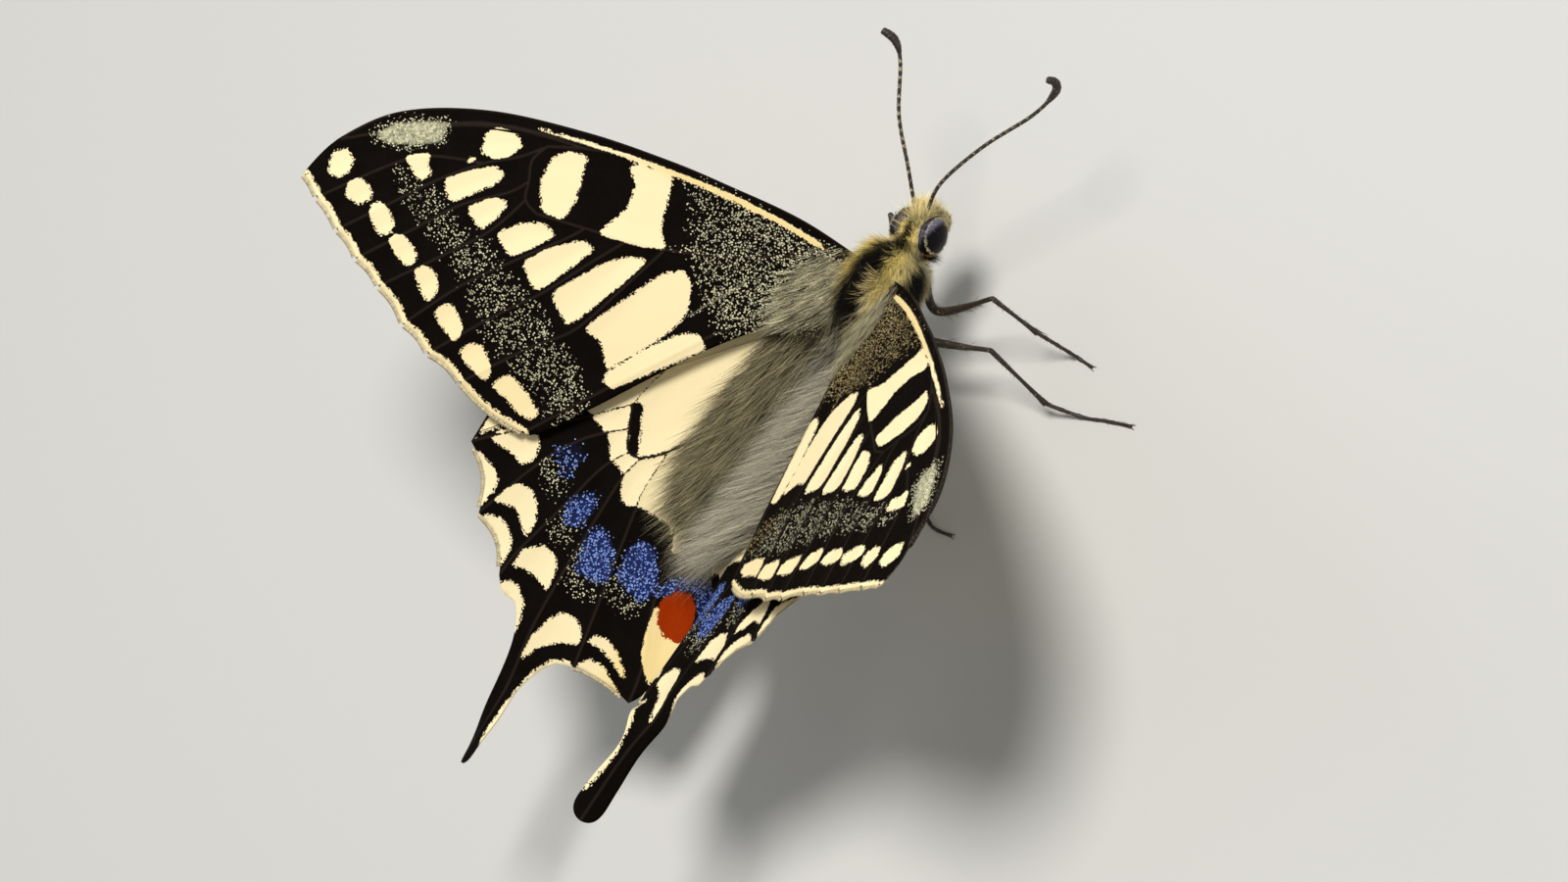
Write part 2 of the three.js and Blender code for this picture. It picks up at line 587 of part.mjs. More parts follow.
add(body, 'thorax', thoraxShape(0), FUR);
add(body, 'abdomen', cutBy(abdomenShape(0), thoraxKeepOut), FUR);
add(body, 'head', cutBy(headShape(0), thoraxKeepOut, ...eyeKeepOuts), FUR);
add(body, 'eye_left', cutBy(eyeShape(1, 0), thoraxKeepOut), EYE);
add(body, 'eye_right', cutBy(eyeShape(-1, 0), thoraxKeepOut), EYE);
add(body, 'palp_left', cutBy(palpShape(1), headKeepOut, ...eyeKeepOuts), FUR);
add(body, 'palp_right', cutBy(palpShape(-1), headKeepOut, ...eyeKeepOuts), FUR);
add(body, 'proboscis', cutBy(proboscisShape(), headKeepOut), SOOT);
add(body, 'antenna_left', cutBy(antennaShape(LEFT_ANTENNA), headKeepOut, ...eyeKeepOuts), SOOT);
add(body, 'antenna_right', cutBy(antennaShape(RIGHT_ANTENNA), headKeepOut, ...eyeKeepOuts), SOOT);

const forewing = { strands: forewingStrands, pose: FOREWING_POSE, camber: FOREWING_CAMBER };
const hindwing = { strands: hindwingStrands, camber: HINDWING_CAMBER };
const wings = {
  forewing_left: { ...forewing, side: 1 },
  forewing_right: { ...forewing, side: -1 },
  hindwing_left: { ...hindwing, side: 1, pose: LEFT_HINDWING_POSE, roll: LEFT_TAIL_ROLL },
  hindwing_right: { ...hindwing, side: -1, pose: RIGHT_HINDWING_POSE, roll: RIGHT_TAIL_ROLL,
    fold: RIGHT_HINDWING_FOLD },
};
for (const [name, wing] of Object.entries(wings)) {
  add(body, name, cutBy(wingPlate(wing.strands, wingSurface(wing)), thoraxKeepOut, abdomenKeepOut), CREAM);
}

const pitched = new THREE.Matrix4().makeRotationFromEuler(body.rotation);
const stanceKeepOut = thoraxShape(GAP).applyMatrix4(pitched);
for (const [name, joints] of Object.entries(LEGS)) {
  for (const [segment, geometry] of Object.entries(legPieces(joints, stanceKeepOut))) {
    add(legs, `leg_${name}_${segment}`, geometry, SOOT);
  }
}

// The origin is under the middle of the whole butterfly, at floor level.
const box = new THREE.Box3().setFromObject(butterfly);
const middle = box.getCenter(new THREE.Vector3());
body.position.set(-middle.x, -middle.y, -box.min.z);
legs.position.copy(body.position);

export default butterfly;
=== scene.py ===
"""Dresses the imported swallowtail: fine scaled wings, furred body, eyes, feelers, tongue and legs.

Shapes are worked out in millimetres in the body frame (X to the head, Y to its left, Z up its
back), then carried to the row frame in metres.
"""

import math

import bmesh
import bpy
import numpy as np
from mathutils import Matrix, Vector
from mathutils.geometry import delaunay_2d_cdt


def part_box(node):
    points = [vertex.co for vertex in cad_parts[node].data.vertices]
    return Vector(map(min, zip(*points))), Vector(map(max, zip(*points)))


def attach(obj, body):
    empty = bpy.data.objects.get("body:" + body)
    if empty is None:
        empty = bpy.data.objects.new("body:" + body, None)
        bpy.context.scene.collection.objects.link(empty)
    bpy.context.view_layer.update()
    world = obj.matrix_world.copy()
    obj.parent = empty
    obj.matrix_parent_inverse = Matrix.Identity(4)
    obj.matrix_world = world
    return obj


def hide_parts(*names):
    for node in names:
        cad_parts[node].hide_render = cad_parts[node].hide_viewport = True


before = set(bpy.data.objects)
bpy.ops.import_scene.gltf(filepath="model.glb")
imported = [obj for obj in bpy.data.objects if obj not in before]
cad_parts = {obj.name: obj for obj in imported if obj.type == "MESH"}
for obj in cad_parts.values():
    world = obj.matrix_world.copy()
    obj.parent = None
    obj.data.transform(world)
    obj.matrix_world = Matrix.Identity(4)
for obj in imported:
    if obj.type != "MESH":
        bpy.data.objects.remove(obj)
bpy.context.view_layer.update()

# ---------------- frames

MM = 0.001
SIDES = ((1, "left"), (-1, "right"))
PITCH = 5                         # of the body, head up, degrees
BODY_HEIGHT = 11.4                # of the body frame's origin above the floor
STANCE_FLOOR = 0.1                # height of the floor in the stance frame
THORAX_FRONT = np.array([2.7, 0.0, -0.6])
UP = np.array([0.0, 0.0, 1.0])
FAR = 9.0                         # stands for a distance out of reach


def rotation(axis, degrees):
    return np.array(Matrix.Rotation(math.radians(degrees), 3, axis))


BODY_TURN = rotation("Y", -PITCH)
THORAX_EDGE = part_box("thorax")[1].x / MM
BODY_ORIGIN = np.array([THORAX_EDGE - (BODY_TURN @ THORAX_FRONT)[0], 0.0, BODY_HEIGHT])


def from_body(points):
    """Body frame, mm, to the row frame, metres."""
    return (np.asarray(points) @ BODY_TURN.T + BODY_ORIGIN) * MM


def from_stance(points):
    """Stance frame, mm, which is level and below the body's origin, to the row frame, metres."""
    return (points + [BODY_ORIGIN[0], 0.0, -STANCE_FLOOR]) * MM


def stance_to_body(points):
    return (points - [0, 0, BODY_HEIGHT + STANCE_FLOOR]) @ BODY_TURN


# ---------------- small numeric helpers

def unit(vectors):
    return vectors / np.maximum(np.linalg.norm(vectors, axis=-1, keepdims=True), 1e-12)


def flattened(vectors, normals):
    """Unit vectors along a surface: the vectors without their share along its normals."""
    return unit(vectors - normals * (vectors * normals).sum(-1, keepdims=True))


def raised(lie, normals, degrees):
    """Directions along a surface, turned up from it."""
    angle = np.radians(degrees)[:, None]
    return lie * np.cos(angle) + normals * np.sin(angle)


def ramp(x, low, high):
    """0 up to low, 1 from high on, smooth between them."""
    t = np.clip((x - low) / (high - low), 0, 1)
    return t * t * (3 - 2 * t)


def fade(x, low, high):
    return 1 - ramp(x, low, high)


def spline(points, step):
    """Catmull-Rom through the points, with a point about every step along it."""
    p = np.array(points, float)
    ends = np.vstack([p[0], p, p[-1]])
    out = []
    for i in range(len(p) - 1):
        a, b, c, d = ends[i:i + 4]
        count = max(1, math.ceil(np.linalg.norm(c - b) / step))
        t = (np.arange(count) / count)[:, None]
        out.append(0.5 * (2 * b + (c - a) * t + (2 * a - 5 * b + 4 * c - d) * t ** 2
                          + (3 * b - a - 3 * c + d) * t ** 3))
    return np.vstack([*out, p[-1:]])


def rounded(polygon, cut=0.12, rounds=2):
    """A closed polygon with its corners cut, again and again."""
    for _ in range(rounds):
        ahead = np.roll(polygon, -1, axis=0)
        pairs = [polygon + (ahead - polygon) * cut, ahead + (polygon - ahead) * cut]
        polygon = np.stack(pairs, 1).reshape(-1, 2)
    return polygon


def closed(polygon):
    return np.vstack([polygon, polygon[:1]])


def distance_to_line(points, line):
    """Distance of each point to an open polyline."""
    best = np.full(len(points), 1e9)
    for a, b in zip(line[:-1], line[1:]):
        d = b - a
        t = np.clip(((points - a) @ d) / max(d @ d, 1e-12), 0, 1)
        best = np.minimum(best, np.linalg.norm(points - a - t[:, None] * d, axis=1))
    return best


def inside(points, polygon):
    x, y = points.T
    odd = np.zeros(len(points), bool)
    for (ax, ay), (bx, by) in zip(polygon, np.roll(polygon, -1, axis=0)):
        if ay != by:
            odd ^= ((ay > y) != (by > y)) & (x < ax + (y - ay) * (bx - ax) / (by - ay))
    return odd


def depth_in(points, polygons, cut=0.12, rounds=2):
    """Signed distance to the nearest edge of the rounded polygons, positive inside them."""
    best = np.full(len(points), -FAR)
    for polygon in polygons:
        polygon = rounded(polygon, cut, rounds)
        d = distance_to_line(points, closed(polygon))
        best = np.maximum(best, np.where(inside(points, polygon), d, -d))
    return best


def square_to(line):
    """Unit vectors in the plan, square to a line at each of its points."""
    return unit(np.gradient(line, axis=0))[:, ::-1] * [1, -1]


def grid_faces(rows, across, around=True):
    """Triangles between rows of points, which run round or else have a point more than across."""
    width = across if around else across + 1
    k = np.arange(across)
    start = np.arange(rows - 1)[:, None] * width
    a, b = (start + k).ravel(), (start + (k + 1) % width).ravel()
    return np.vstack([np.stack([a, b, b + width], 1), np.stack([a, b + width, a + width], 1)])


def tube_faces(rings, sides):
    """Triangles of a closed tube, whose two end points come after its rings."""
    k = np.arange(sides)
    ahead, last, tip = (k + 1) % sides, (rings - 1) * sides, np.full(sides, rings * sides)
    return np.vstack([grid_faces(rings, sides), np.stack([tip, ahead, k], 1),
                      np.stack([tip + 1, last + k, last + ahead], 1)])


def add_piece(name, points, faces, layers, material, slot, *nodes, uv=None, carry=from_body):
    """A smooth triangle mesh; layers are per-vertex attributes, uv a per-vertex bake map."""
    faces = np.asarray(faces, np.int32)
    mesh = bpy.data.meshes.new(name)
    mesh.vertices.add(len(points))
    mesh.vertices.foreach_set("co", carry(points).astype(np.float32).ravel())
    mesh.loops.add(faces.size)
    mesh.loops.foreach_set("vertex_index", faces.ravel())
    mesh.polygons.add(len(faces))
    mesh.polygons.foreach_set("loop_start", np.arange(0, faces.size, 3, dtype=np.int32))
    mesh.polygons.foreach_set("use_smooth", np.ones(len(faces), bool))
    mesh.update(calc_edges=True)
    for key, values in layers.items():
        kind, field = ("FLOAT_VECTOR", "vector") if values.ndim == 2 else ("FLOAT", "value")
        data = mesh.attributes.new(key, kind, "POINT").data
        data.foreach_set(field, values.astype(np.float32).ravel())
    if uv is not None:
        layer = mesh.uv_layers.new(name="OFBake")
        layer.data.foreach_set("uv", uv.astype(np.float32)[faces.ravel()].ravel())
    mesh.materials.append(material)
    piece = bpy.data.objects.new(name, mesh)
    bpy.context.scene.collection.objects.link(piece)
    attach(piece, "root")
    if nodes:
        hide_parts(*nodes)
    return piece


# ---------------- materials

class Shader:
    """A node material put together by short calls; every value may be a number or a socket."""

    def __init__(self, name):
        self.material = bpy.data.materials.new(name)
        self.material.use_nodes = True
        self.tree = self.material.node_tree
        self.surface = self.tree.nodes["Principled BSDF"]

    def put(self, socket, value):
        if isinstance(value, bpy.types.NodeSocket):
            self.tree.links.new(value, socket)
        elif hasattr(value, "__len__") and len(value) == 3 and socket.type == "RGBA":
            socket.default_value = (*value, 1)
        else:
            socket.default_value = value

    def node(self, kind, inputs, **settings):
        node = self.tree.nodes.new(kind)
        for key, value in settings.items():
            setattr(node, key, value)
        for key, value in inputs.items():
            self.put(node.inputs[key], value)
        return node

    def number(self, name):
        return self.node("ShaderNodeAttribute", {}, attribute_name=name).outputs["Fac"]

    def vector(self, name):
        return self.node("ShaderNodeAttribute", {}, attribute_name=name).outputs["Vector"]

    def math(self, operation, a, b):
        return self.node("ShaderNodeMath", {0: a, 1: b}, operation=operation).outputs[0]

    def add(self, a, b):
        return self.math("ADD", a, b)

    def less(self, a, b):
        return self.math("SUBTRACT", a, b)

    def times(self, a, b):
        return self.math("MULTIPLY", a, b)

    def below(self, a, b):
        return self.math("LESS_THAN", a, b)

    def swing(self, share, width):
        """A share of 0 to 1 as a number about zero."""
        return self.times(self.less(share, 0.5), width)

    def step(self, value, low, high, to_low=0.0, to_high=1.0):
        return self.node("ShaderNodeMapRange", {"Value": value, "From Min": low, "From Max": high,
                                                "To Min": to_low, "To Max": to_high},
                         interpolation_type="SMOOTHSTEP").outputs["Result"]

    def noise(self, vector, scale, detail=2.0):
        inputs = {"Vector": vector, "Scale": scale, "Detail": detail}
        return self.node("ShaderNodeTexNoise", inputs).outputs["Fac"]

    def cells(self, vector, scale, randomness=1.0):
        """Distance to the middle of each cell, and three random numbers for the cell."""
        inputs = {"Vector": vector, "Scale": scale, "Randomness": randomness}
        node = self.node("ShaderNodeTexVoronoi", inputs)
        parts = self.node("ShaderNodeSeparateColor", {"Color": node.outputs["Color"]}).outputs
        return node.outputs["Distance"], parts[0], parts[1], parts[2]

    def mix(self, share, a, b):
        return self.node("ShaderNodeMix", {0: share, 6: a, 7: b}, data_type="RGBA").outputs[2]

    def finish(self, colour, roughness, specular, relief=None, distance=0.0, strength=0.0):
        """Gives the surface its values; relief is the height of a bump map, distance its depth."""
        values = {"Base Color": colour, "Roughness": roughness, "Specular IOR Level": specular}
        if relief is not None:
            inputs = {"Height": relief, "Distance": distance, "Strength": strength}
            values["Normal"] = self.node("ShaderNodeBump", inputs).outputs["Normal"]
        for key, value in values.items():
            self.put(self.surface.inputs[key], value)
        return self.material


CREAM = (0.94, 0.81, 0.50)
GOLD = (0.86, 0.64, 0.22)
MURK = (0.05, 0.042, 0.028)
SOOT, SOOT_LIT = (0.003, 0.002, 0.0015), (0.006, 0.0042, 0.0032)
# Veins in the black: brown that is partly their own tone, partly a painted sheen.
VEIN_BROWN_AND_SHEEN = (0.060, 0.042, 0.032)
DUST, DUST_DIM = (0.80, 0.77, 0.50), (0.26, 0.26, 0.18)
# Tawny dust colours: a painted sheen, the look of the dust seen at a grazing angle, used on the
# right forewing's base.
TAWNY, TAWNY_DIM = (0.62, 0.50, 0.25), (0.17, 0.12, 0.045)
BLUE, BLUE_LIT, BLUE_HAZE = (0.13, 0.23, 0.68), (0.30, 0.42, 0.82), (0.020, 0.036, 0.15)
RUST, RUST_DEEP = (0.32, 0.032, 0.001), (0.28, 0.020, 0.001)


def wing_material():
    """The powder of scales: ragged cream on soot, loose pale and blue scales, a rust eyespot."""
    s = Shader("wing_scales")
    place, under = s.vector("plan"), s.number("under")
    _, rag, rag_b, _ = s.cells(place, 8.5)
    reach, pick, shade, _ = s.cells(place, 6.3, 0.9)
    shifted = s.node("ShaderNodeVectorMath", {0: place, 1: (3.7, 9.1, 0.0)}, operation="ADD")
    blue_reach, blue_pick, blue_shade, _ = s.cells(shifted.outputs[0], 5.6, 0.9)
    grain = s.noise(place, 9.0)
    wobble = s.noise(place, 1.5, 3.0)
    ragged = s.times(s.number("loose"), s.add(s.swing(rag, 0.28), s.swing(wobble, 0.24)))

    cream = s.step(s.add(s.add(s.number("cream"), ragged), s.times(under, 0.2)), -0.02, 0.02)
    rust = s.step(s.add(s.number("rust"), ragged), -0.03, 0.03)
    murk = s.step(s.add(s.number("murk"), s.swing(rag_b, 0.6)), 0.4, 0.6)
    dust_level = s.add(s.number("dust"), s.times(under, 0.3))
    dusted = s.times(s.below(pick, dust_level), s.step(reach, 0.48, 0.38))
    dusted = s.math("MAXIMUM", dusted, s.step(dust_level, 0.95, 1.5, 0.0, 0.75))
    blued = s.times(s.below(blue_pick, s.number("blue")), s.step(blue_reach, 0.46, 0.36))

    soot = s.mix(s.noise(place, 0.6), SOOT, SOOT_LIT)
    # Painted sheen, partly the veins' own brown: soot turns towards the vein colour along the
    # veins.
    soot = s.mix(s.times(s.number("vein"), 0.3), soot, VEIN_BROWN_AND_SHEEN)
    warm = s.add(s.number("warm"), s.swing(grain, 0.25))
    colour = s.mix(cream, soot, s.mix(murk, s.mix(warm, CREAM, GOLD), MURK))
    # Painted grazing-angle sheen: where its layer is high, the dust takes the tawny colours in
    # place of the pale ones.
    dust = s.mix(s.number("tawny"), s.mix(shade, DUST, DUST_DIM), s.mix(shade, TAWNY, TAWNY_DIM))
    colour = s.mix(s.times(dusted, s.less(1.0, cream)), colour, dust)
    colour = s.mix(s.step(s.number("blue"), 0.2, 1.5, 0.0, 0.6), colour, BLUE_HAZE)
    colour = s.mix(blued, colour, s.mix(blue_shade, BLUE, BLUE_LIT))
    colour = s.mix(rust, colour, s.mix(s.times(rag_b, 0.6), RUST, RUST_DEEP))
    relief = s.add(s.times(grain, 0.5), s.times(s.less(1.0, reach), 0.5))
    return s.finish(colour, s.step(rag, 0.0, 1.0, 0.85, 0.65), 0.02, relief, 0.00003, 0.5)


def fur_material():
    """Fur and the skin under it: the tone of a hair and the way to its tip come with the hair;
    hairs get painted shade towards their roots, and flecks of tone.
    """
    s = Shader("fur")
    place = s.vector("place")
    flecks = s.noise(place, 3.0, 3.0)
    # Painted shade: a hair is darker towards its root and brightest at its tip; the flecks below
    # are tone that varies at random.
    lit = s.add(0.45, s.times(s.number("along"), 0.85))
    lit = s.times(lit, s.step(flecks, 0.2, 0.8, 0.7, 1.25))
    colour = s.node("ShaderNodeVectorMath", {0: s.vector("tone"), "Scale": lit}, operation="SCALE")
    return s.finish(colour.outputs[0], s.step(flecks, 0.0, 1.0, 0.75, 0.5), 0.16,
                    s.noise(place, 14.0, 3.0), 0.00004, 0.4)


def shell_material():
    """Legs, feelers and tongue: black-brown, scaled, with paler scales where 'pale' says."""
    s = Shader("shell_scales")
    place = s.vector("place")
    reach, pick, _, shade = s.cells(place, 9.0)
    ground = s.mix(s.noise(place, 2.5), (0.012, 0.008, 0.006), (0.040, 0.026, 0.017))
    scales = s.mix(shade, (0.50, 0.43, 0.26), (0.30, 0.24, 0.14))
    colour = s.mix(s.step(s.less(s.number("pale"), pick), -0.1, 0.1), ground, scales)
    roughness = s.step(pick, 0.0, 1.0, 0.36, 0.55)
    return s.finish(colour, roughness, 0.5, s.less(1.0, reach), 0.00003, 0.6)


def eye_material():
    """Close-set facets under a painted violet highlight."""
    s = Shader("eye_facets")
    reach, pick, _, _ = s.cells(s.vector("place"), 17.0, 0.25)
    dark = s.mix(pick, (0.003, 0.002, 0.003), (0.008, 0.006, 0.009))
    # Painted highlight: the dark facets turn violet where the eye's highlight mask is high.
    colour = s.mix(s.step(s.number("painted_highlight"), 0.0, 1.0), dark, (0.15, 0.14, 0.20))
    roughness = s.step(pick, 0.0, 1.0, 0.26, 0.40)
    return s.finish(colour, roughness, 0.07, s.less(1.0, reach), 0.000012, 0.7)


WING, FUR, SHELL, EYE = wing_material(), fur_material(), shell_material(), eye_material()

# ---------------- wing poses, as in the solids

# Camber is the rise, in hundredths of span squared, of span times chord and of chord squared.
# Roll and fold give the chords where a bend starts and where it is full, and its degrees.
HINDWING_CAMBER = (-0.002, 0.074, 0.052)
FOREWING = {"hinge": (0, 3.32, 2.55), "turn": (38.2, 0, 11.8), "camber": (-0.24, -0.454, -0.431)}
LEFT_HINDWING = {"hinge": (-5, 2.93, 1.3), "turn": (38.0, 0, 9.8), "camber": HINDWING_CAMBER,
                 "roll": (-35.5, -44, 80)}
RIGHT_HINDWING = {"hinge": (-5, 2.93, 1.46), "turn": (34.4, -16.1, 8.6), "camber": HINDWING_CAMBER,
                  "roll": (-33, -37.5, 80), "fold": (-19, -26, 30)}
WINGS = {"forewing_left": FOREWING, "forewing_right": FOREWING, "hindwing_left": LEFT_HINDWING,
         "hindwing_right": RIGHT_HINDWING}
TAIL_AXIS = 6.45
TAIL_ROLL_FADE = (1.5, 3.2)
FOLD_LINE, FOLD_RADIUS = 2.4, 2.0
PROBE = 0.02                      # step to either side for a direction on the surface


def wing_surface(wing, at):
    """The wing's middle surface at points of its plan, on the left side, body frame."""
    span, chord = at.T
    c = wing["camber"]
    rise = (c[0] * span ** 2 + c[1] * span * chord + c[2] * chord ** 2) / 100
    reach = span

    def bend(start, end, degrees):
        return math.radians(degrees) * ramp(-chord, -start, -end)

    if "roll" in wing:
        off = span - TAIL_AXIS
        angle = bend(*wing["roll"]) * fade(np.abs(off), *TAIL_ROLL_FADE)
        reach = TAIL_AXIS + off * np.cos(angle)
        rise = rise - off * np.sin(angle)
    if "fold" in wing:
        off = np.maximum(0, FOLD_LINE - reach)
        bent = np.minimum(off / FOLD_RADIUS, bend(*wing["fold"]))
        rest = off - bent * FOLD_RADIUS
        rise = rise + FOLD_RADIUS * (np.cos(bent) - 1) - rest * np.sin(bent)
        reach = np.maximum(reach, FOLD_LINE) - FOLD_RADIUS * np.sin(bent) - rest * np.cos(bent)
    elevation, sweep, twist = wing["turn"]
    turn = rotation("X", elevation) @ rotation("Z", sweep) @ rotation("Y", twist)
    return np.stack([chord, reach, rise], -1) @ turn.T + wing["hinge"]


def wing_frame(wing, at):
    """Points, outward normals, and the directions of span and chord, on the left side."""
    span, chord = (unit(wing_surface(wing, at + step) - wing_surface(wing, at - step))
                   for step in np.eye(2) * PROBE)
    return wing_surface(wing, at), unit(np.cross(chord, span)), span, chord


# ---------------- wing plans

def plan(*tenths):
    """Points of a wing's plan, mm, from spans and chords given in tenths of a millimetre."""
    return np.array(tenths).reshape(-1, 2) / 10


def scallops(ends, depths, step=0.12):
    """A margin of bays between vein ends; positive depths cut inwards."""
    line = []
    for a, b, depth in zip(ends[:-1], ends[1:], depths):
        chord = np.linalg.norm(b - a)
        inward = np.array([b[1] - a[1], a[0] - b[0]]) / chord
        t = np.linspace(0, 1, max(2, round(chord / step)), endpoint=False)[:, None]
        line.append(a + (b - a) * t + inward * depth * np.sin(math.pi * t))
    return np.vstack([*line, ends[-1:]])


FORE_ENDS = plan(391, -163, 372, -174, 346, -188, 322, -200, 296, -210, 265, -226, 237, -236,
                 204, -243, 142, -252)
FORE_OUTER = scallops(FORE_ENDS, (0.1, 0.15, 0.2, 0.2, 0.25, 0.25, 0.25, -0.35))
FORE_COSTA = plan(-30, -4, 36, 0, 103, -6, 150, -12, 216, -25, 290, -48, 349, -83, 381, -127,
                  391, -163)
FORE_INNER = plan(142, -252, 132, -247, 107, -212, 52, -127, 10, -77, -30, -40)
# Each vein: points, height of its ridge, half width of its dark line.
FORE_VEINS = [
    (FORE_COSTA[:-1], 0.14, 0.3),
    (plan(-30, -9, 84, -10, 133, -16, 173, -23, 209, -36, 237, -50), 0.1, 0.12),
    (plan(173, -23, 225, -37, 290, -59, 344, -96), 0.05, 0.1),
    (plan(209, -36, 275, -54, 335, -90, 381, -127), 0.06, 0.12),
    (plan(237, -50, 252, -68, 273, -86, 299, -117, 320, -149, 346, -188), 0.06, 0.12),
    (plan(273, -86, 312, -102, 335, -123, 372, -174), 0.06, 0.12),
    (plan(237, -50, 242, -65, 236, -81, 231, -95, 218, -100), 0.05, 0.2),
    (plan(236, -81, 245, -96, 273, -124, 296, -160, 322, -200), 0.05, 0.12),
    (plan(231, -95, 243, -130, 266, -166, 296, -210), 0.05, 0.12),
    (plan(-30, -8, 3, -13, 49, -40, 78, -57, 118, -74, 147, -83, 180, -91, 218, -100), 0.12, 0.14),
    (plan(180, -91, 190, -107, 214, -139, 241, -178, 265, -226), 0.06, 0.14),
    (plan(147, -83, 164, -114, 183, -150, 209, -189, 237, -236), 0.06, 0.14),
    (plan(118, -74, 130, -112, 147, -162, 171, -193, 204, -243), 0.06, 0.14),
    (plan(-5, -33, 15, -62, 45, -102, 69, -137, 92, -173, 112, -204, 142, -252), 0.06, 0.1),
]
FORE_FOLD = plan(51, -66, 61, -80, 75, -117, 97, -154, 110, -178, 147, -227)
FORE_CREAM = [
    plan(374, -152, 379, -137, 371, -129, 362, -134, 361, -145, 366, -152),
    plan(353, -162, 357, -152, 351, -144, 339, -147, 336, -154, 341, -162),
    plan(331, -165, 332, -157, 327, -152, 317, -156, 310, -163, 309, -170, 315, -175),
    plan(307, -176, 306, -170, 299, -166, 285, -172, 281, -178, 284, -186, 293, -183),
    plan(278, -186, 274, -179, 265, -178, 255, -188, 256, -202, 265, -197),
    plan(248, -207, 246, -198, 240, -194, 225, -203, 222, -211, 224, -218, 234, -214),
    plan(216, -223, 212, -213, 204, -210, 191, -219, 187, -226, 188, -232, 203, -229),
    plan(181, -233, 178, -223, 172, -219, 152, -225, 139, -234, 140, -239, 152, -241, 168, -235),
    plan(280, -79, 283, -65, 279, -57, 266, -53, 255, -58, 258, -70, 268, -79),
    plan(329, -112, 313, -100, 311, -109, 304, -114, 310, -123),
    plan(284, -93, 285, -87, 280, -86),
    plan(294, -113, 277, -94, 265, -84, 256, -85, 257, -94, 280, -126),
    plan(268, -124, 254, -106, 242, -103, 243, -116, 249, -132),
    plan(238, -129, 223, -111, 210, -104, 197, -107, 207, -123, 219, -139),
    plan(209, -139, 197, -119, 177, -100, 166, -101, 172, -117, 188, -153),
    plan(178, -148, 157, -112, 141, -94, 126, -88, 132, -109, 153, -164),
    plan(142, -158, 121, -114, 111, -92, 98, -81, 86, -88, 79, -107, 81, -121, 94, -151, 110, -178,
         124, -161),
    plan(109, -186, 108, -177, 92, -148, 72, -122, 61, -118, 55, -123, 52, -126, 87, -171,
         99, -188),
    plan(173, -32, 171, -27, 141, -21, 136, -40, 129, -63, 118, -73, 135, -81, 170, -90, 159, -62,
         162, -42),
    plan(229, -55, 221, -45, 206, -41, 203, -57, 197, -76, 199, -94, 216, -96, 228, -76),
    plan(250, -40, 211, -31, 172, -22.5, 132, -16, 92, -10.5, 50, -8, 17, -8.5, 10, -12, 50, -11.5,
         92, -14.5, 132, -19, 172, -25, 211, -33, 250, -41.5),
]
FORE_BASE_DUST = plan(133, -14, 114, -51, 104, -69, 85, -85, 56, -104, 36, -114, 10, -82, -15, -39,
                      -15, -8, 50, -9)
FORE_APEX_DUST = plan(361, -108, 353, -92, 334, -78, 314, -68, 309, -69, 306, -90, 321, -101,
                      341, -112, 352, -115)
FORE_BAND = plan(334, -120, 324, -132, 311, -144, 278, -156, 244, -176, 214, -198, 184, -211,
                 147, -221, 125, -241, 99, -226, 115, -200, 133, -184, 153, -178, 177, -161,
                 206, -154, 238, -139, 260, -137, 288, -126, 300, -120)
# Each streak of dust: points, half width, level.
FORE_STREAKS = [
    (plan(3, -13, 49, -40, 78, -57, 125, -76), 0.10, 0.55),
    (plan(51, -66, 61, -80, 75, -107), 0.13, 1.2),
]

HIND_ENDS = plan(184, -230, 151, -275, 113, -309)
HIND_COSTA = plan(-25, 3, 30, 11, 80, -10, 130, -60, 165, -120, 181, -180, 184, -230)
HIND_OUTER = scallops(HIND_ENDS, (0.75, 0.75))
HIND_TAIL = plan(113, -309, 104, -319, 90, -323, 79, -346, 74, -380, 75.5, -415, 76.5, -436,
                 73, -446, 65, -449.5, 57, -446, 53, -436, 53.5, -415, 55.5, -380, 44, -351,
                 27, -342)
HIND_LOBE = scallops(plan(27, -342, 16, -340, -24, -345), (0.05, 0.2))
HIND_INNER = plan(-24, -345, -31, -332, -37, -300, -42, -240, -36, -180, -27, -120, -20, -65,
                  -25, -28)
HIND_VEINS = [
    (HIND_COSTA, 0.06, 0.2),
    (plan(-25, -4, 30, -36, 76, -96, 90, -142), 0.08, 0.02),
    (plan(30, -36, 105, -80, 181, -180), 0.06, 0.02),
    (plan(90, -142, 126, -178, 161, -208, 184, -230), 0.06, 0.06),
    (plan(90, -142, 83, -160, 74, -176, 63, -175), 0.05, 0.08),
    (plan(83, -160, 109, -184, 130, -219, 151, -275), 0.05, 0.06),
    (plan(74, -176, 86, -198, 96, -236, 109, -283, 113, -309), 0.05, 0.06),
    (plan(63, -175, 68, -195, 70, -243, 71, -288, 70, -335, 64, -385, 65, -449), 0.06, 0.05),
    (plan(-25, -12, 6, -75, 29, -131), 0.1, 0.03),
    (plan(29, -131, 47, -160, 63, -175), 0.1, 0.13),
    (plan(47, -160, 49, -196, 46, -216, 38, -269, 27, -342), 0.06, 0.03),
    (plan(29, -131, 15, -202, 6, -228, -3, -271, -19, -315, -24, -345), 0.06, 0.04),
    (plan(-25, -20, -6, -70, -16, -140, -27, -210, -37, -300), 0.05, 0.05),
]
HIND_DISCAL_BAR = plan(85, -142, 79, -156, 71, -173)
